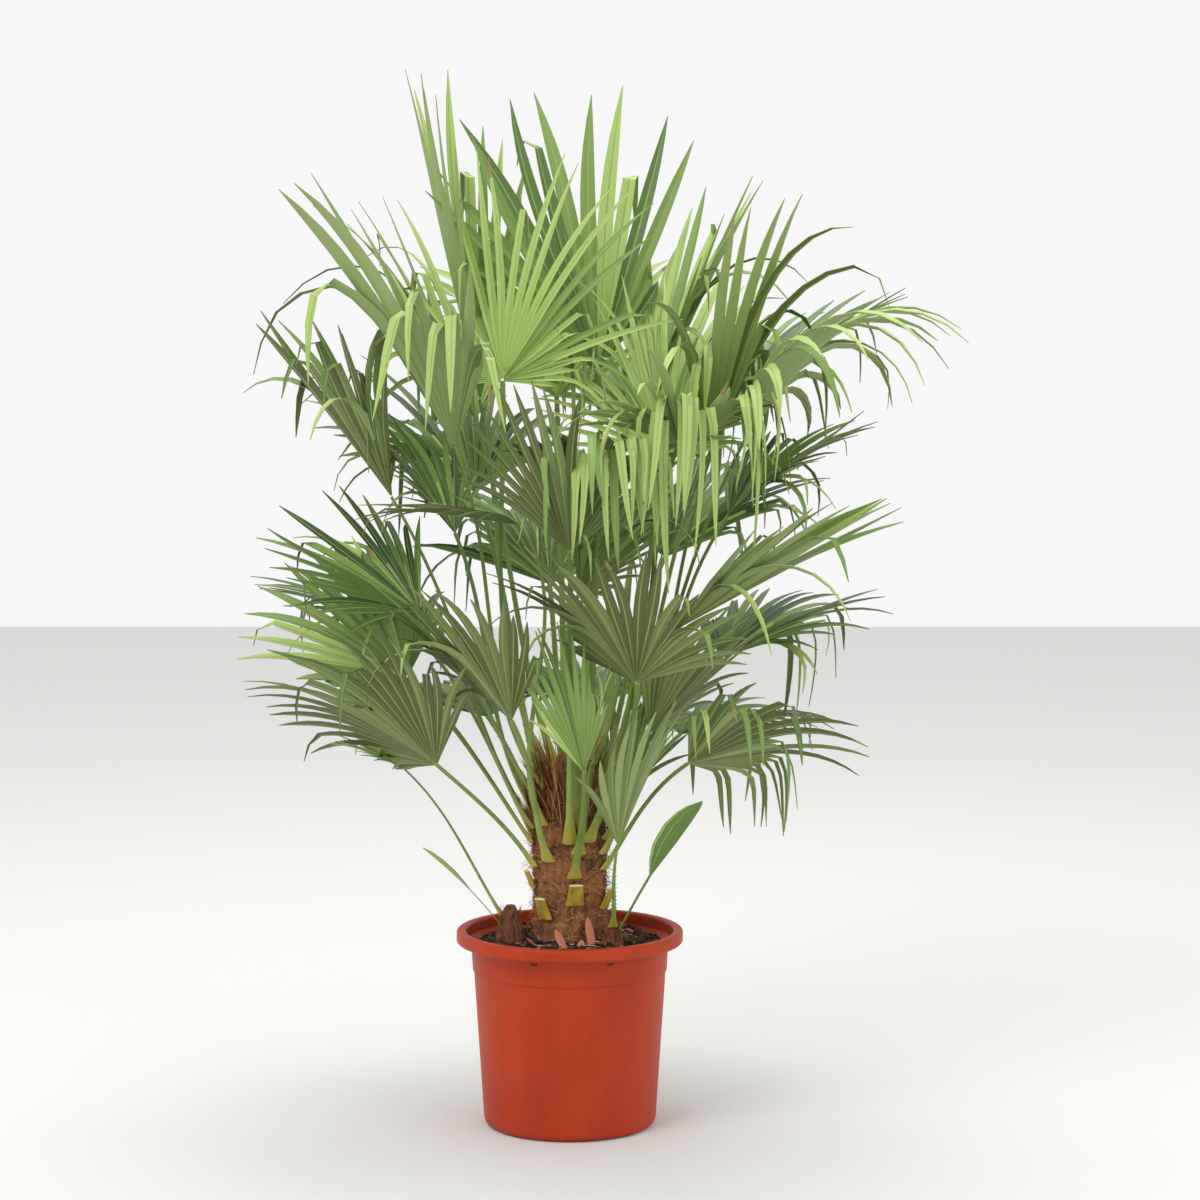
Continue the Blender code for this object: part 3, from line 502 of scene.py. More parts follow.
# Mottled finishes: name, dark and light tone, roughness, scale of the pattern, depth of its
# relief, stretch and contrast
TRUNK_BARK = ("trunk_fibre", (0.24, 0.12, 0.07), (0.70, 0.46, 0.28), 0.9, 70.0, 0.0015,
              (1.0, 1.0, 0.35))
SHOOT_BARK = ("shoot_fibre", (0.26, 0.14, 0.09), (0.54, 0.34, 0.22), 0.9, 90.0, 0.0012,
              (1.0, 1.0, 0.3))
STUB_SKIN = ("stub_skin", (0.50, 0.40, 0.12), (0.82, 0.72, 0.24), 0.6, 120.0, 0.0006,
             (1.0, 1.0, 0.2))
SOIL_EARTH = ("soil_earth", (0.09, 0.06, 0.05), (0.27, 0.19, 0.14), 0.95, 150.0, 0.002)
POT_PLASTIC = ("pot_plastic", (0.61, 0.155, 0.0), (0.73, 0.225, 0.02), 0.5, 16.0, 0.0004,
               (1.0, 1.0, 0.5), 0.3)
POT_GLOSS = 0.3
PATTERN_DETAIL = 8.0
PATTERN_ROUGHNESS = 0.62
PATTERN_CONTRAST = 0.22
BUMP_STRENGTH = 0.5

# Angles in degrees past which an edge stays sharp
SHARP_CRUMB = 20
SHARP_FOLD = 30
SHARP_MOULDED = 35
SHARP_SPEAR = 40
SHARP_CUT = 45
SHARP_ROUND = 60

# Studio: the floor, the sky's strength, and the lights as name, place, width and power
STUDIO_WIDTH = 14.0
STUDIO_LEVEL = -0.0005
SKY_STRENGTH = 0.93
LIGHTS = (("key", (-2.0, -2.6, 3.8), 1.8, 66.0), ("fill", (2.8, -2.4, 2.0), 2.6, 14.0),
          ("top", (0.3, 0.9, 3.8), 2.0, 50.0))
LIGHT_AIM = (0.0, 0.0, 0.7)

# Camera: place, tilt below the horizon and lens
CAMERA_PLACE = (0.040, -4.0, 1.04)
CAMERA_TILT = 4.9
CAMERA_LENS = 91.65
SENSOR_WIDTH = 36.0


def arc(centre_r, centre_z, radius, start, end, steps):
    """Points of a rounded corner in a profile, between two angles in degrees."""
    points = []
    for step in range(steps + 1):
        angle = math.radians(start + (end - start) * step / steps)
        points.append((centre_r + radius * math.cos(angle), centre_z + radius * math.sin(angle)))
    return points


def turned(profile, sides):
    """A closed solid of revolution about Z from a profile that starts and ends on the axis."""
    bm = bmesh.new()
    verts = [bm.verts.new((r, 0.0, z)) for r, z in profile]
    edges = [bm.edges.new(pair) for pair in zip(verts, verts[1:])]
    bmesh.ops.spin(bm, geom=verts + edges, cent=(0, 0, 0), axis=(0, 0, 1), dvec=(0, 0, 0),
                   angle=math.tau, steps=sides, use_merge=True)
    bmesh.ops.remove_doubles(bm, verts=bm.verts[:], dist=WELD)
    return bm


def inner_radius(height):
    """Radius of the pot's inside at a height, along its straight tapering wall."""
    share = (height - FLOOR) / (STEP_HEIGHT - FLOOR)
    low = FOOT_RADIUS - WALL
    return low + (STEP_RADIUS - WALL - low) * share


def fan_frame(item):
    """The fan's middle line, its sideways direction and its upper face's normal."""
    turn, rise, roll = (math.radians(value) for value in (item.turn, item.rise, item.roll))
    axis = Vector((math.cos(rise) * math.cos(turn), math.cos(rise) * math.sin(turn),
                   math.sin(rise)))
    side = Vector((math.sin(turn), -math.cos(turn), 0.0))
    face = side.cross(axis)
    return axis, side * math.cos(roll) - face * math.sin(roll), \
        face * math.cos(roll) + side * math.sin(roll)


def ray(item, angle):
    """Direction, sideways direction and normal of the fan at an angle from its middle line."""
    axis, side, face = fan_frame(item)
    cup = math.radians(item.cup)
    half = 0.0 if abs(angle) < ON_MIDDLE else math.copysign(1.0, angle)
    out = side * math.cos(cup) + face * math.sin(cup) * half
    along = axis * math.cos(angle) + out * math.sin(angle)
    across = out * math.cos(angle) - axis * math.sin(angle)
    return along, across, across.cross(along)


def rib(item, angle, snapped):
    """Points and directions down one segment of the fan, from the hub to its tip."""
    along, _, _ = ray(item, angle)
    share = angle / math.radians(item.spread)
    length = item.reach * (1.0 - TIP_FALL * share * share)
    place = item.hub.copy()
    line = [(place.copy(), along.copy())]
    for step in range(RIB_STEPS):
        part = (step + 0.5) / RIB_STEPS
        if snapped and part > item.snap:
            along = (along * SNAP_CARRY - UP).normalized()
        elif part > STIFF_PART:
            along = (along - UP * item.droop * part / RIB_STEPS * DROOP_RATE).normalized()
        place = place + along * (length / RIB_STEPS)
        line.append((place.copy(), along.copy()))
    return line


def along_rib(line, part):
    """Point and direction at a fraction of a rib's length."""
    place = min(max(part, 0.0), 1.0) * RIB_STEPS
    index = min(int(place), RIB_STEPS - 1)
    share = place - index
    return line[index][0].lerp(line[index + 1][0], share), line[index + 1][1]


def segment_count(item):
    """How many wide segments the construction node's fan is laid out in."""
    return max(LEAST_SEGMENTS, round(2 * item.spread / SEGMENT_ANGLE))


def edge_angle(item, edge):
    """The angle of the fold between two segments, from the fan's middle line."""
    return math.radians(item.spread) * (2.0 * edge / segment_count(item) - 1.0)


def pleat_point(item, edge, radius):
    """A point on a fold of the pleated part: folds lie above and below the fan by turns."""
    angle = edge_angle(item, edge)
    along, _, face = ray(item, angle)
    half_width = radius * math.radians(item.spread) / segment_count(item)
    height = half_width * math.tan(PLEAT_ANGLE) * (1 if edge % 2 else -1)
    return item.hub + along * radius + face * height, face


def split_radius(item, edge, split):
    """How far from the hub two segments part."""
    share = edge_angle(item, edge) / math.radians(item.spread)
    return item.reach * (1.0 - TIP_FALL * share * share) * split


def is_bent(item, segment):
    """Whether a segment has snapped over, by the same draw as in the construction node."""
    return random.Random(f"{item.name} {segment}").random() < item.bent


def settle(foot, outward, start, level, tree, width, thick):
    """Slide a stalk's foot inwards until it stands just clear of what carries it."""
    face = level.cross(start)
    corners = []
    for across in (-0.5, -0.25, 0.0, 0.25, 0.5):
        for over in (-0.5, 0.0, 0.5):
            corners.append(level * width * across + face * thick * over)
    for _ in range(SETTLE_STEPS):
        near = min(tree.find_nearest(foot + corner)[3] for corner in corners)
        if near < SEAT_GAP * SETTLE_CLOSE:
            break
        foot = foot - outward * (near - SEAT_GAP) * SETTLE_PACE
    return foot


def linear(red, green, blue):
    """A display colour as linear light, by the sRGB rule."""
    return tuple(part / 12.92 if part <= 0.04045 else ((part + 0.055) / 1.055) ** 2.4
                 for part in (red, green, blue))


def plain(name, colour, roughness):
    """A finish of one colour."""
    made = bpy.data.materials.new(name)
    made.use_nodes = True
    shader = made.node_tree.nodes["Principled BSDF"]
    shader.inputs["Base Color"].default_value = (*linear(*colour), 1.0)
    shader.inputs["Roughness"].default_value = roughness
    return made


def finishes_of(kind):
    return [plain(*row) for row in FINISHES[kind]]


def mottled(name, dark, light, roughness, scale, relief, stretch=(1.0, 1.0, 1.0),
            contrast=PATTERN_CONTRAST):
    """A finish whose colour wanders between two tones, with a fine relief of the same pattern."""
    made = plain(name, light, roughness)
    nodes, links = made.node_tree.nodes, made.node_tree.links
    shader = nodes["Principled BSDF"]
    place = nodes.new("ShaderNodeTexCoord")
    mapping = nodes.new("ShaderNodeMapping")
    mapping.inputs["Scale"].default_value = stretch
    pattern = nodes.new("ShaderNodeTexNoise")
    pattern.inputs["Scale"].default_value = scale
    pattern.inputs["Detail"].default_value = PATTERN_DETAIL
    pattern.inputs["Roughness"].default_value = PATTERN_ROUGHNESS
    ramp = nodes.new("ShaderNodeValToRGB")
    ramp.color_ramp.elements[0].position = 0.5 - contrast
    ramp.color_ramp.elements[0].color = (*linear(*dark), 1.0)
    ramp.color_ramp.elements[1].position = 0.5 + contrast
    ramp.color_ramp.elements[1].color = (*linear(*light), 1.0)
    bump = nodes.new("ShaderNodeBump")
    bump.inputs["Strength"].default_value = BUMP_STRENGTH
    bump.inputs["Distance"].default_value = relief
    links.new(place.outputs["Object"], mapping.inputs["Vector"])
    links.new(mapping.outputs["Vector"], pattern.inputs["Vector"])
    links.new(pattern.outputs["Fac"], ramp.inputs["Fac"])
    links.new(ramp.outputs["Color"], shader.inputs["Base Color"])
    links.new(pattern.outputs["Fac"], bump.inputs["Height"])
    links.new(bump.outputs["Normal"], shader.inputs["Normal"])
    return made


class Batch:
    """Many small closed shapes gathered into one mesh, each face with its own tone."""

    def __init__(self):
        self.points = []
        self.faces = []
        self.tones = []

    def loft(self, rings, tones, tip=None, bands=None):
        """A closed shape through rings of points that run right-handed about its direction. Its
        tones go by side, or where bands are given, by place along it. Its last step and end
        take the tone of tip, if there is one."""
        count = len(rings[0])
        start = len(self.points)
        for ring in rings:
            self.points.extend(ring)
        for row in range(len(rings) - 1):
            base = start + row * count
            for side in range(count):
                following = (side + 1) % count
                self.faces.append((base + side, base + following, base + count + following,
                                   base + count + side))
                tone = tones[side] if bands is None else bands[min(row, len(bands) - 1)]
                self.tones.append(tip if tip is not None and row == len(rings) - 2 else tone)
        last = start + (len(rings) - 1) * count
        self.faces.append(tuple(start + side for side in reversed(range(count))))
        self.faces.append(tuple(last + side for side in range(count)))
        self.tones += [tones[0], tones[0] if tip is None else tip]

    def solid(self, points, faces, tone):
        """A closed shape of one tone, from its points and faces."""
        start = len(self.points)
        self.points.extend(points)
        for face in faces:
            self.faces.append(tuple(start + index for index in face))
            self.tones.append(tone)


def shown(name, bm, finishes, nodes=(), smooth=SHARP_ROUND):
    """Put a finished mesh in the scene, riding on the plant, for its construction nodes."""
    mesh = bpy.data.meshes.new(name)
    bm.to_mesh(mesh)
    bm.free()
    mesh.shade_smooth()
    mesh.set_sharp_from_angle(angle=math.radians(smooth))
    for finish in finishes:
        mesh.materials.append(finish)
    made = bpy.data.objects.new(name, mesh)
    bpy.context.scene.collection.objects.link(made)
    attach(made, "root")
    if nodes:
        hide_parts(*nodes)


def gathered(name, batch, finishes, nodes=(), smooth=SHARP_ROUND):
    """Put a batch in the scene as one piece."""
    mesh = bpy.data.meshes.new("draft")
    mesh.from_pydata(batch.points, [], batch.faces)
    mesh.polygons.foreach_set("material_index", batch.tones)
    bm = bmesh.new()
    bm.from_mesh(mesh)
    bpy.data.meshes.remove(mesh)
    bmesh.ops.recalc_face_normals(bm, faces=bm.faces[:])
    shown(name, bm, finishes, nodes, smooth)


def between(table, place, column):
    """A column of a table of stations, read between two stations."""
    for low, high in zip(table, table[1:]):
        if place <= high[0]:
            share = (place - low[0]) / (high[0] - low[0])
            return low[column] + (high[column] - low[column]) * share
    return table[-1][column]


def heading(turn):
    """The level direction at an angle from +X."""
    return Vector((math.cos(turn), math.sin(turn), 0.0))


def centre_of(carrier):
    """The foot of a carrier's axis: a side shoot's, or else the trunk's."""
    for shoot in SHOOTS:
        if shoot.name == carrier:
            return Vector((shoot.x, shoot.y, 0.0))
    return Vector((0.0, 0.0, 0.0))


def tree_of(node):
    """The surface of a construction node, to find what is near it."""
    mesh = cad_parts[node].data
    return BVHTree.FromPolygons([vert.co.copy() for vert in mesh.vertices],
                                [tuple(face.vertices) for face in mesh.polygons])


def corners_of(node):
    """The corners of a construction node, to find which splits and lengths it was built with."""
    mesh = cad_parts[node].data
    found = kdtree.KDTree(len(mesh.vertices))
    for index, vert in enumerate(mesh.vertices):
        found.insert(vert.co, index)
    found.balance()
    return found


def taken_split(item, corners):
    """The fraction of the reach at which the construction node's segments part."""
    for split in SPLITS:
        radius = split_radius(item, 0, split)
        point, _ = pleat_point(item, 0, radius)
        if corners.find(point)[2] < CORNER_REACH:
            return split
    return SPLITS[-1]


def taken_end(item, segment, split, corners):
    """The fraction of its full length that a segment of the construction node reaches, or a
    stump's where the node leaves it out."""
    line = rib(item, edge_angle(item, segment + 0.5), is_bent(item, segment))
    for shorter in SHORTER:
        part = split + (1.0 - split) * shorter
        if corners.find(along_rib(line, part)[0])[2] < CORNER_REACH:
            return part
    return split + STUMP_LENGTH


def folded(place, along, flat, half, fold):
    """A ring of eight points round a leaflet that is folded up along its rib."""
    face = flat.cross(along)
    wing = flat * half
    lift = face * (half * math.tan(fold))
    strip = flat * (half * RIB_SHARE)
    down = face * -LEAFLET_THICKNESS
    top = [place - wing + lift, place - strip, place + strip, place + wing + lift]
    return top + [point + down for point in reversed(top)]


def add_leaflet(batch, item, number, split, end, tones, rng, narrowing=1.0):
    """One leaflet from the hub to its tip, on the fan's ribs, with its own sag, sway and twist."""
    count = segment_count(item) * LEAFLETS_PER_SEGMENT
    spread = math.radians(item.spread)
    angle = spread * (2.0 * (number + 0.5) / count - 1.0)
    snapped = is_bent(item, number // LEAFLETS_PER_SEGMENT)
    droop = item.droop * rng.uniform(*DROOP_FACTORS) + rng.uniform(*DROOP_EXTRAS)
    item = item._replace(droop=droop)
    if snapped:
        item = item._replace(snap=min(LATEST_SNAP, item.snap * rng.uniform(*HANGING_SNAP_RANGE)))
        narrowing = rng.uniform(*HANGING_NARROWING)
        end *= rng.uniform(*HANGING_END_RANGE)
    elif rng.random() < BENT_TIP_SHARE:
        snapped = True
        item = item._replace(snap=rng.uniform(*BENT_TIP_RANGE))
    line = rib(item, angle, snapped)
    _, across, _ = ray(item, angle)
    share = angle / spread
    length = item.reach * (1.0 - TIP_FALL * share * share)
    twist = rng.uniform(-TWIST, TWIST)
    sway = rng.uniform(-SWAY, SWAY) * length
    rise = rng.uniform(-LIFT, LIFT) * length
    end *= rng.uniform(*LEAFLET_END_RANGE)
    half_at_split = split * length * spread / count
    rings = []
    for step in range(LEAFLET_STEPS + 1):
        part = LEAFLET_START + (end - LEAFLET_START) * step / LEAFLET_STEPS
        place, along = along_rib(line, part)
        outer = max(0.0, (part - split) / max(end - split, LEAST_FREE_PART))
        half = max(part, HUB_WIDTH_PART) * length * spread / count
        if part >= split:
            narrowed = (narrowing - 1.0) * min(1.0, outer * NARROWING_RATE)
            fullness = LEAFLET_FULLNESS * (1.0 + narrowed)
            half = half_at_split * fullness * (1.0 - min(outer, 1.0) ** LEAFLET_TAPER)
        flat = (across - along * across.dot(along)).normalized()
        face = flat.cross(along)
        turn = twist * outer * outer
        flat = flat * math.cos(turn) + face * math.sin(turn)
        fold = FOLD_AT_HUB + (FOLD_AT_TIP - FOLD_AT_HUB) * min(1.0, part)
        place = place + (flat * sway + face * rise) * (outer * outer)
        rings.append(folded(place, along, flat, max(half, LEAST_HALF), fold))
    upper, under, rib_tone, tip = tones
    batch.loft(rings, (upper, rib_tone, upper, upper, under, rib_tone, under, under), tip)


def stalk_line(item, tree, centre, scale):
    """The stalk's curve from its seat on what carries it up to the hub."""
    hub_axis, hub_side, _ = fan_frame(item)
    outward = heading(math.atan2(item.hub.y - centre.y, item.hub.x - centre.x))
    lean = math.radians(STALK_LEAN)
    start = (outward * math.sin(lean) + UP * math.cos(lean)).normalized()
    level = UP.cross(outward)
    if level.dot(hub_side) < 0.0:
        level = -level
    foot = centre + outward * START_OUT + UP * (SOIL_TOP + item.height)
    foot = settle(foot, outward, start, level, tree, STALK_SHAPE[0][1] * scale,
                  STALK_SHAPE[0][2] * scale)
    reach = (item.hub - foot).length
    end = ((item.hub - foot).normalized() + hub_axis * STALK_FOLLOW).normalized()
    first = foot + start * reach * STALK_PULL
    second = item.hub - end * reach * STALK_PULL
    stations = []
    for step in range(STALK_STEPS + 1):
        part = step / STALK_STEPS
        rest = 1.0 - part
        point = foot * rest ** 3 + first * 3 * rest ** 2 * part \
            + second * 3 * rest * part ** 2 + item.hub * part ** 3
        along = ((first - foot) * rest ** 2 + (second - first) * 2 * rest * part
                 + (item.hub - second) * part ** 2).normalized()
        flat = level.lerp(hub_side, part)
        flat = (flat - along * flat.dot(along)).normalized()
        width = between(STALK_SHAPE, part, 1) * scale
        flare = 1.0 + (STALK_FOOT_FLARE - 1.0) * max(0.0, 1.0 - part * FLARE_FADE)
        thick = between(STALK_SHAPE, part, 2) * scale
        stations.append((point, along, flat, width * flare, thick))
    return stations


def add_stalk(batch, stations):
    """A stalk that is flat above and round below, with forward spines along its edges."""
    rings = []
    for point, along, flat, width, thick in stations:
        face = flat.cross(along)
        ring = []
        for side in range(STALK_SIDES):
            turn = math.tau * side / STALK_SIDES
            over = thick * 0.5 * min(math.cos(turn), STALK_FLATNESS)
            ring.append(point + face * over + flat * (width * 0.5 * math.sin(turn)))
        rings.append(ring)
    batch.loft(rings, (0,) * STALK_SIDES, bands=STALK_BANDS)
    spiny = stations[SPINES_FROM:]
    for (start, along, flat, width, _), above in zip(spiny, spiny[1:]):
        stop = above[0]
        face = flat.cross(along)
        spines = max(1, round((stop - start).length / SPINE_PITCH))
        for number in range(spines):
            for hand in (-1.0, 1.0):
                foot = start.lerp(stop, (number + 0.5) / spines) \
                    + flat * (hand * width * SPINE_OUT)
                heel = foot - along * SPINE_FOOT * SPINE_HEEL
                toe = foot + along * SPINE_FOOT
                tip = foot + (flat * hand + along * SPINE_SLANT).normalized() * SPINE_LENGTH
                corners = [heel, toe + face * SPINE_FOOT, toe - face * SPINE_FOOT, tip]
                batch.solid(corners, SPINE_FACES, SPINE_TONE)


def leaf_group(item):
    """The piece of the crown that a fan belongs to, by where its hub is."""
    if item.hub.y > BACK_FROM:
        return "leaves_back"
    if item.hub.x < LEFT_FROM:
        return "leaves_left"
    return "leaves_right" if item.hub.x > RIGHT_FROM else "leaves_middle"


def tone_at(tones, place):
    return tones[min(len(tones) - 1, max(0, place))]


def make_leaves():
    """All fans, gathered by side of the crown, and all their stalks."""
    finishes = [plain(f"leaf_{tone}", colour, LEAF_ROUGHNESS)
                for tone, colour in LEAF_TONES.items()]
    place_of = {tone: index for index, tone in enumerate(LEAF_TONES)}
    groups = {}
    stalks = Batch()
    trees = {name: tree_of(name) for name in ("trunk", *(shoot.name for shoot in SHOOTS))}
    for item in FANS:
        rng = random.Random(f"leaflets {item.name}")
        corners = corners_of(item.name)
        split = taken_split(item, corners)
        batch, nodes = groups.setdefault(leaf_group(item), (Batch(), []))
        nodes.append(item.name)
        high = item.hub.z > HIGH_HUB
        upper_place, under_place = FAN_TONES.get(item.name, LIT_HIGH_TONES if high else SHADED_LOW_TONES)
        leaflets = segment_count(item) * LEAFLETS_PER_SEGMENT
        for number in range(leaflets):
            segment = number // LEAFLETS_PER_SEGMENT
            hangs = is_bent(item, segment)
            # A hanging leaflet is one step brighter, and a leaflet of a high fan one step more; the
            # step for a high fan is painted light
            brighter = int(hangs) + int(high)
            upper = tone_at(UPPER_TONES, upper_place + brighter + rng.choice(UPPER_SHIFTS))
            under = tone_at(UNDER_TONES, under_place + brighter + rng.choice(UNDER_SHIFTS))
            tip = place_of["dry"] if rng.random() < DRY_TIP_SHARE else None
            tones = (place_of[upper], place_of[under], place_of["rib"], tip)
            end = taken_end(item, segment, split, corners)
            if hangs:
                end = max(end, HANGING_END)
            add_leaflet(batch, item, number, split, end, tones, rng)
        for _ in range(ARCHING.get(item.name, 0)):
            strip = item._replace(droop=rng.uniform(*ARCH_DROOP),
                                  reach=item.reach * rng.uniform(*ARCH_REACH))
            number = rng.uniform(0.0, leaflets - 1.0)
            tones = (place_of[rng.choice(ARCH_TONES)], place_of[rng.choice(UNDER_TONES)],
                     place_of["rib"], None)
            add_leaflet(batch, strip, number, split, 1.0, tones, rng,
                        rng.uniform(*HANGING_NARROWING))
        scale = 1.0 if item.carrier == "trunk" else SHOOT_STALK_SCALE
        add_stalk(stalks, stalk_line(item, trees[item.carrier], centre_of(item.carrier), scale))
    for name, (batch, nodes) in groups.items():
        gathered(name, batch, finishes, nodes, SHARP_FOLD)
    gathered("leaf_stalks", stalks, finishes_of("stalk"))


def pleated(place, along, flat, half):
    """A ring round a young leaf whose blade is folded lengthwise many times."""
    face = flat.cross(along)
    top = []
    for fold in range(2 * BLADE_PLEATS + 1):
        across = fold / BLADE_PLEATS - 1.0
        depth = BLADE_FOLD if fold % 2 else -BLADE_FOLD
        crest = half / BLADE_PLEATS * depth * (1.0 - BLADE_FOLD_FALL * abs(across))
        lift = crest + half * BLADE_CUP * across * across
        top.append(place + flat * (half * across) + face * lift)
    return top + [point - face * LEAFLET_THICKNESS for point in reversed(top)]


def make_young_leaves():
    """The leaves that have not split: folded lances on the side shoots."""
    batch = Batch()
    for item in BLADES:
        centre = centre_of(item.carrier)
        aim = item.tip - centre
        outward = Vector((aim.x, aim.y, 0.0)).normalized()
        level = UP.cross(outward)
        foot = centre + outward * BLADE_START_OUT + UP * (SOIL_TOP + item.height)
        foot = settle(foot, outward, UP, level, tree_of(item.carrier),
                      item.width * BLADE_SHAPE[0][1], BLADE_THICKNESS)
        middle = foot.lerp(item.tip, 0.5) + UP * (item.tip - foot).length * BLADE_ARCH
        rings = []
        for step in range(BLADE_STEPS + 1):
            part = step / BLADE_STEPS
            rest = 1.0 - part
            point = foot * rest ** 2 + middle * 2 * rest * part + item.tip * part ** 2
            along = ((middle - foot) * rest + (item.tip - middle) * part).normalized()
            wide = between(BLADE_FINE_SHAPE, part, 1)
            full = wide * (BLADE_FULLNESS if wide > BLADE_STALK_WIDTH else 1.0)
            half = item.width * 0.5 * max(full, BLADE_LEAST_WIDTH)
            rings.append(pleated(point, along, -level, half))
        # The pleat facets take the painted lit and painted shaded tone by turns, on both faces, and
        # the edges a third tone
        batch.loft(rings, ((0, 1) * BLADE_PLEATS + (2,)) * 2)
    gathered("young_leaves", batch, finishes_of("young_leaf"),
             [item.name for item in BLADES], SHARP_FOLD)


def make_spear():
    """The furled new leaf: a slim taper with fine pleats."""
    foot = SOIL_TOP + SEAT_GAP + TRUNK_SHAPE[-1][0] + SEAT_GAP
    profile = [(0.0, foot)]
    for step in range(SPEAR_STEPS):
        part = step / SPEAR_STEPS
        if part < SPEAR_WIDEST:
            wide = SPEAR_FOOT_WIDTH + part * SPEAR_SWELL
        else:
            wide = SPEAR_TAPER * (1.0 - part)
        profile.append((SPEAR_RADIUS * wide, foot + SPEAR_LENGTH * part))
    profile.append((0.0, foot + SPEAR_LENGTH))
    bm = turned(profile, SPEAR_SIDES)
    for vert in bm.verts:
        angle = math.atan2(vert.co.y, vert.co.x)
        pleat = 1.0 + SPEAR_PLEAT_DEPTH * math.cos(SPEAR_PLEATS * angle)
        vert.co.x *= pleat
        vert.co.y *= pleat
    shown("spear_leaf", bm, finishes_of("spear"), ["spear"], SHARP_SPEAR)


def woven(bm, centre, foot, relief):
    """Raise the criss-cross of old leaf bases and the run of loose fibres on a stem."""
    for vert in bm.verts:
        offset = Vector((vert.co.x - centre.x, vert.co.y - centre.y, 0.0))
        if offset.length < CORE_RADIUS:
            continue
        height = vert.co.z - foot
        angle = math.atan2(offset.y, offset.x)
        wave = math.sin(SCAR_TURNS * angle + math.tau * height / SCAR_PITCH)
        cross = math.sin(SCAR_TURNS * angle - math.tau * height / SCAR_PITCH)
        thread = abs(math.sin(FIBRE_RIBS * angle + height * FIBRE_SLANT)) ** 2
        rough = noise.noise(Vector((vert.co.x * BARK_GRAIN, vert.co.y * BARK_GRAIN,
                                    vert.co.z * BARK_GRAIN_UP)))
        swell = SCAR_RELIEF * wave * cross + relief * (thread * FIBRE_SHARE + rough * ROUGH_SHARE)
        vert.co += offset.normalized() * swell


def strand(batch, place, along, length, width, droop, tone):
    """One loose fibre: a thin curved sliver."""
    beside = UP if abs(along.z) < NEARLY_UPRIGHT else Vector((1.0, 0.0, 0.0))
    side = along.cross(beside).normalized()
    rings = []
    for step in range(STRAND_STEPS + 1):
        part = step / STRAND_STEPS
        half = width * (1.0 - part * STRAND_TAPER) * 0.5
        point = place + along * (length * part) - UP * (droop * length * part * part)
        over = side.cross(along) * half
        rings.append([point + over, point - side * half - over * 0.5,
                      point + side * half - over * 0.5])
    batch.loft(rings, (tone,) * 3)


def fine_profile(shape, foot, step):
    """A stem's outline from its stations, in rows about a step apart."""
    top = shape[-1][0]
    rows = round(top / step)
    return [(0.0, foot)] + [(between(shape, top * row / rows, 1), foot + top * row / rows)
                            for row in range(rows + 1)] + [(0.0, foot + top)]


def make_trunk():
    """The stem with its woven fibre relief, loose tufts and the sheath fibres at its top."""
    foot = SOIL_TOP + SEAT_GAP
    bm = turned(fine_profile(TRUNK_SHAPE, foot, TRUNK_FINE_STEP), TRUNK_FINE_SIDES)
    woven(bm, Vector((0.0, 0.0, 0.0)), foot, FIBRE_RELIEF)
    bmesh.ops.recalc_face_normals(bm, faces=bm.faces[:])
    shown("trunk_stem", bm, [mottled(*TRUNK_BARK)], ["trunk"])
    rng = random.Random(TRUNK_SEED)
    tufts = Batch()
    for _ in range(TUFTS):
        height = rng.uniform(*TUFT_HEIGHTS)
        outward = heading(rng.uniform(0.0, math.tau))
        radius = between(TRUNK_SHAPE, height, 1)
        along = (outward * rng.uniform(*TUFT_OUT) + UP * rng.uniform(*TUFT_UP)
                 + UP.cross(outward) * rng.uniform(*TUFT_ROUND)).normalized()
        strand(tufts, outward * radius + UP * (foot + height), along,
               TUFT_LENGTH * rng.uniform(*TUFT_LENGTHS), TUFT_WIDTH, rng.uniform(*TUFT_DROOP),
               rng.randrange(FIBRE_TONES))
    for number in range(SHEATHS):
        outward = heading(number * GOLDEN_TURN)
        height = SHEATH_LOWEST + SHEATH_RISE * number / SHEATHS
        radius = between(TRUNK_SHAPE, height, 1)
        for _ in range(SHEATH_FIBRES):
            along = (outward * rng.uniform(*SHEATH_OUT) + UP
                     + UP.cross(outward) * rng.uniform(*SHEATH_ROUND))
            place = outward * radius + UP.cross(outward) * rng.uniform(*SHEATH_ASIDE)
            strand(tufts, place + UP * (foot + height), along.normalized(),
                   rng.uniform(*SHEATH_LENGTHS), SHEATH_WIDTH, rng.uniform(*SHEATH_DROOP),
                   rng.randrange(FIBRE_TONES))
    gathered("trunk_tufts", tufts, finishes_of("tuft"))


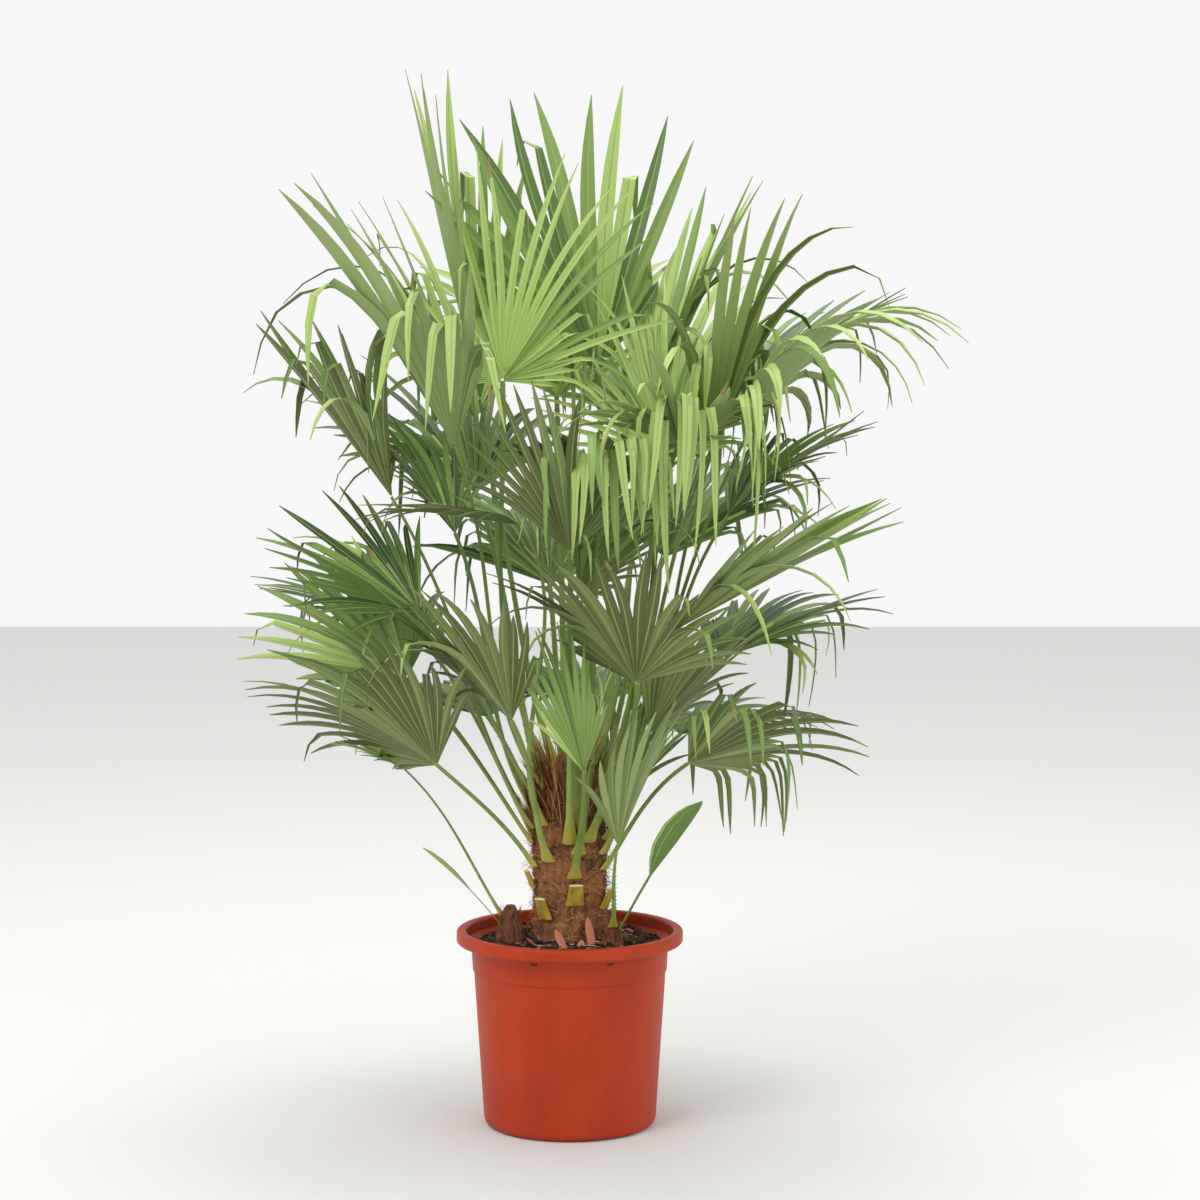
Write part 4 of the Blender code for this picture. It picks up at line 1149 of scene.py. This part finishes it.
def make_shoots():
    """The side shoots: short fibre-wrapped stems."""
    bark = mottled(*SHOOT_BARK)
    rng = random.Random(SHOOT_SEED)
    fibres = Batch()
    foot = SOIL_TOP + SEAT_GAP
    for shoot in SHOOTS:
        for _ in range(SHOOT_FIBRES):
            outward = heading(rng.uniform(0.0, math.tau))
            part = rng.uniform(*SHOOT_FIBRE_PLACES)
            place = Vector((shoot.x, shoot.y, foot + shoot.height * part)) \
                + outward * (shoot.radius * (1.0 - SHOOT_TAPER * part))
            along = (outward * rng.uniform(*SHOOT_FIBRE_OUT) + UP
                     + UP.cross(outward) * rng.uniform(*SHOOT_FIBRE_ROUND))
            strand(fibres, place, along.normalized(), rng.uniform(*SHOOT_FIBRE_LENGTHS),
                   SHOOT_FIBRE_WIDTH, rng.uniform(*SHOOT_FIBRE_DROOP), rng.randrange(FIBRE_TONES))
        shape = [(shoot.height * part, shoot.radius * wide) for part, wide in SHOOT_SHAPE]
        bm = turned(fine_profile(shape, foot, SHOOT_FINE_STEP), SHOOT_FINE_SIDES)
        bmesh.ops.translate(bm, verts=bm.verts[:], vec=(shoot.x, shoot.y, 0.0))
        woven(bm, centre_of(shoot.name), foot, SHOOT_RELIEF)
        bmesh.ops.recalc_face_normals(bm, faces=bm.faces[:])
        shown(f"{shoot.name}_stem", bm, [bark], [shoot.name])
    gathered("shoot_fibres", fibres, finishes_of("shoot_fibre"))


def make_stubs():
    """The cut leaf bases, round-backed, with a pale cut top."""
    batch = Batch()
    tree = tree_of("trunk")
    lean = math.radians(STUB_LEAN)
    for item in STUBS:
        outward = heading(math.radians(item.turn))
        level = UP.cross(outward)
        along = outward * math.sin(lean) + UP * math.cos(lean)
        foot = settle(outward * START_OUT + UP * (SOIL_TOP + item.height), outward, along, level,
                      tree, item.width, STUB_THICKNESS)
        face = level.cross(along)
        rings = []
        for step in range(STUB_STEPS + 1):
            part = step / STUB_STEPS
            ring = []
            for side in range(STUB_SIDES):
                angle = math.tau * side / STUB_SIDES
                wide = item.width * 0.5 * (1.0 - STUB_NARROWING * part) * math.sin(angle)
                thick = STUB_THICKNESS * 0.5 * (1.0 - STUB_THINNING * part) \
                    * min(math.cos(angle), STUB_FLATNESS)
                ring.append(foot + along * (item.length * part) - level * wide + face * thick)
            rings.append(ring)
        batch.loft(rings, (0,) * STUB_SIDES)
        batch.tones[-1] = 1
    gathered("cut_leaf_bases", batch, [mottled(*STUB_SKIN)] + finishes_of("stub_cut"),
             [item.name for item in STUBS], SHARP_CUT)


def soil_height(x, y):
    """The soil's surface: a mound round the stem and a loose crumbly relief."""
    reach = math.hypot(x, y)
    mound = MOUND * math.exp(-((reach - MOUND_REACH) / MOUND_SPREAD) ** 2)
    lumps = noise.noise(Vector((x * LUMP_GRAIN, y * LUMP_GRAIN, LUMP_LEVEL)))
    grit = noise.noise(Vector((x * GRIT_GRAIN, y * GRIT_GRAIN, GRIT_LEVEL)))
    fade = 1.0 - min(1.0, reach / SOIL_CALM_RADIUS) ** SOIL_CALM_POWER
    return SOIL_TOP + SOIL_LIFT + mound + SOIL_RELIEF * (lumps + GRIT_SHARE * grit) * fade


def make_soil():
    """The bed of soil that fills the pot."""
    edge = inner_radius(SOIL_TOP)
    profile = [(0.0, FLOOR + SEAT_GAP), (inner_radius(FLOOR) - SEAT_GAP * 2, FLOOR + SEAT_GAP)]
    profile += [(edge * (1.0 - ring / SOIL_RINGS) - SEAT_GAP * 2, SOIL_TOP)
                for ring in range(SOIL_RINGS)]
    bm = turned(profile + [(0.0, SOIL_TOP)], SOIL_FINE_SIDES)
    for vert in bm.verts:
        if vert.co.z > SOIL_TOP * 0.5:
            vert.co.z = soil_height(vert.co.x, vert.co.y)
    bmesh.ops.recalc_face_normals(bm, faces=bm.faces[:])
    shown("soil_bed", bm, [mottled(*SOIL_EARTH)], ["soil"])


def scattered(rng, inner, outer):
    """A place on the soil between two distances from the stem's middle."""
    reach = math.sqrt(rng.uniform(inner * inner, outer * outer))
    turn = rng.uniform(0.0, math.tau)
    return reach * math.cos(turn), reach * math.sin(turn)


def make_crumbs(rng):
    """Crumbs and lumps of soil."""
    ball = bmesh.new()
    bmesh.ops.create_icosphere(ball, subdivisions=1, radius=1.0)
    ball_points = [vert.co.copy() for vert in ball.verts]
    ball_faces = [tuple(vert.index for vert in face.verts) for face in ball.faces]
    ball.free()
    crumbs = Batch()
    for number in range(CRUMBS + LUMPS):
        x, y = scattered(rng, *CRUMB_REACH)
        size = rng.uniform(*(CRUMB_SIZES if number < CRUMBS else LUMP_SIZES))
        middle = Vector((x, y, soil_height(x, y) + size * CRUMB_STAND))
        points = [middle + point * (size * rng.uniform(*CRUMB_ROUGHNESS)) for point in ball_points]
        crumbs.solid(points, ball_faces, rng.choice(CRUMB_TONES))
    gathered("soil_crumbs", crumbs, finishes_of("crumb"), (), SHARP_CRUMB)


def make_chips(rng):
    """Reddish bark chips, strewn on the soil, and large ones that lean by the stem."""
    chips = Batch()
    for _ in range(CHIPS):
        x, y = scattered(rng, *CHIP_REACH)
        turn = rng.uniform(0.0, math.tau)
        long_way = Vector((math.cos(turn), math.sin(turn), rng.uniform(*CHIP_SLOPES))).normalized()
        side = UP.cross(long_way).normalized()
        over = long_way.cross(side)
        length, width, thick = (rng.uniform(*limits) for limits in CHIP_SIZES)
        middle = Vector((x, y, soil_height(x, y) + thick * CHIP_STAND))
        rings = []
        for part, size in CHIP_SHAPE:
            ring = []
            for step in range(CHIP_SIDES):
                angle = math.tau * step / CHIP_SIDES
                jitter = rng.uniform(*CHIP_ROUGHNESS) * size
                ring.append(middle + long_way * (length * part)
                            + side * (width * 0.5 * math.cos(angle) * jitter)
                            + over * (thick * 0.5 * math.sin(angle) * jitter))
            rings.append(ring)
        chips.loft(rings, (rng.choice(CHIP_TONES),) * CHIP_SIDES)
    for x, y, aim, lean, length, width in LEANING_CHIPS:
        turn, tilt = math.radians(aim), math.radians(lean)
        long_way = Vector((math.cos(turn) * math.cos(tilt), math.sin(turn) * math.cos(tilt),
                           math.sin(tilt)))
        side = UP.cross(long_way).normalized()
        over = long_way.cross(side)
        foot = Vector((x, y, soil_height(x, y) - LEANING_DEPTH))
        rings = []
        for part, size in LEANING_SHAPE:
            ring = []
            for step in range(CHIP_SIDES):
                angle = math.tau * step / CHIP_SIDES
                wide = width * 0.5 * math.cos(angle) * size * rng.uniform(*LEANING_ROUGHNESS)
                thick = width * LEANING_THICKNESS * math.sin(angle) * size
                ring.append(foot + long_way * (length * part) + side * wide + over * thick)
            rings.append(ring)
        chips.loft(rings, (rng.choice(LEANING_TONES),) * CHIP_SIDES)
    gathered("bark_chips", chips, finishes_of("chip"), (), SHARP_FOLD)


def make_straws(rng):
    """Pale straws that lie on the soil."""
    straws = Batch()
    for _ in range(STRAWS):
        x, y = scattered(rng, *STRAW_REACH)
        turn = rng.uniform(0.0, math.tau)
        along = Vector((math.cos(turn), math.sin(turn), rng.uniform(*STRAW_SLOPES))).normalized()
        strand(straws, Vector((x, y, soil_height(x, y) + STRAW_STAND)), along,
               rng.uniform(*STRAW_LENGTHS), STRAW_WIDTH, STRAW_DROOP, 0)
    gathered("straws", straws, finishes_of("straw"))


def make_litter():
    """All that lies on the soil, from one run of draws."""
    rng = random.Random(LITTER_SEED)
    make_crumbs(rng)
    make_chips(rng)
    make_straws(rng)


def make_pot():
    """The moulded pot: rounded rim, stepped neck, tapering wall and rounded foot."""
    rim_foot = POT_HEIGHT - RIM_HEIGHT
    ledge = rim_foot - LEDGE_DROP
    profile = [(0.0, 0.0)] + arc(FOOT_RADIUS - FOOT_ROUND, FOOT_ROUND, FOOT_ROUND, *FOOT_ARC)
    low_radius, low_height = profile[-1]
    for row in range(1, WALL_ROWS):
        share = row / WALL_ROWS
        profile.append((low_radius + (STEP_RADIUS - low_radius) * share,
                        low_height + (STEP_HEIGHT - low_height) * share))
    profile += [(STEP_RADIUS + out, STEP_HEIGHT + up) for out, up in STEP_EDGE]
    profile += [(radius, rim_foot - below) for radius, below in NECK_EDGE]
    profile += arc(RIM_RADIUS - RIM_ROUND, rim_foot + RIM_ROUND, RIM_ROUND, -90, 0, RIM_STEPS)
    profile += arc(RIM_RADIUS - RIM_ROUND, POT_HEIGHT - RIM_ROUND, RIM_ROUND, 0, 90, RIM_STEPS)
    profile += arc(LIP_RADIUS + RIM_ROUND, POT_HEIGHT - RIM_ROUND, RIM_ROUND, 90, 180, RIM_STEPS)
    profile += [(LIP_RADIUS - LIP_DRAFT, rim_foot + LIP_FOOT), (inner_radius(ledge), ledge)]
    profile += [(inner_radius(FLOOR), FLOOR), (0.0, FLOOR)]
    bm = turned(profile, POT_FINE_SIDES)
    bmesh.ops.recalc_face_normals(bm, faces=bm.faces[:])
    shell = mottled(*POT_PLASTIC)
    shell.node_tree.nodes["Principled BSDF"].inputs["Specular IOR Level"].default_value = POT_GLOSS
    shown("pot_shell", bm, [shell], ["pot"], SHARP_MOULDED)
    # The notches are not cut: dark blocks half sunk in the neck's wall are painted shade for them
    notches = bmesh.new()
    for turn in NOTCHES:
        angle = math.radians(turn)
        outward = heading(angle)
        verts = bmesh.ops.create_cube(notches, size=1.0)["verts"]
        bmesh.ops.scale(notches, verts=verts, vec=NOTCH_SIZE)
        for vert in verts:
            x, y = vert.co.x, vert.co.y
            vert.co.x = x * math.cos(angle) - y * math.sin(angle)
            vert.co.y = x * math.sin(angle) + y * math.cos(angle)
            vert.co += outward * (NECK_RADIUS - NOTCH_DEPTH) + UP * (rim_foot - NOTCH_DROP)
    bmesh.ops.bevel(notches, geom=notches.edges[:], offset=NOTCH_BEVEL, affect="EDGES",
                    segments=2, profile=0.5, material=-1)
    shown("rim_notches", notches, finishes_of("notch"), (), SHARP_MOULDED)


def make_studio():
    """A pale floor, soft lights and the camera."""
    bpy.ops.mesh.primitive_plane_add(size=STUDIO_WIDTH, location=(0.0, 0.0, STUDIO_LEVEL))
    floor = bpy.context.object
    floor.name = "floor"
    floor.data.materials.append(*finishes_of("floor"))
    world = bpy.data.worlds.new("studio")
    world.use_nodes = True
    backdrop = world.node_tree.nodes["Background"]
    backdrop.inputs["Color"].default_value = (1.0, 1.0, 1.0, 1.0)
    backdrop.inputs["Strength"].default_value = SKY_STRENGTH
    bpy.context.scene.world = world
    bpy.context.scene.view_settings.view_transform = "Standard"
    for name, place, size, power in LIGHTS:
        light = bpy.data.lights.new(name, "AREA")
        light.energy = power
        light.size = size
        lamp = bpy.data.objects.new(name, light)
        lamp.location = place
        aim = Vector(LIGHT_AIM) - Vector(place)
        lamp.rotation_euler = aim.to_track_quat("-Z", "Y").to_euler()
        bpy.context.scene.collection.objects.link(lamp)
    lens = bpy.data.cameras.new("camera")
    lens.lens = CAMERA_LENS
    lens.sensor_width = SENSOR_WIDTH
    camera = bpy.data.objects.new("camera", lens)
    camera.location = CAMERA_PLACE
    camera.rotation_euler = (math.radians(90.0 - CAMERA_TILT), 0.0, 0.0)
    bpy.context.scene.collection.objects.link(camera)
    bpy.context.scene.camera = camera


make_studio()
make_leaves()
make_young_leaves()
make_spear()
make_trunk()
make_shoots()
make_stubs()
make_soil()
make_litter()
make_pot()
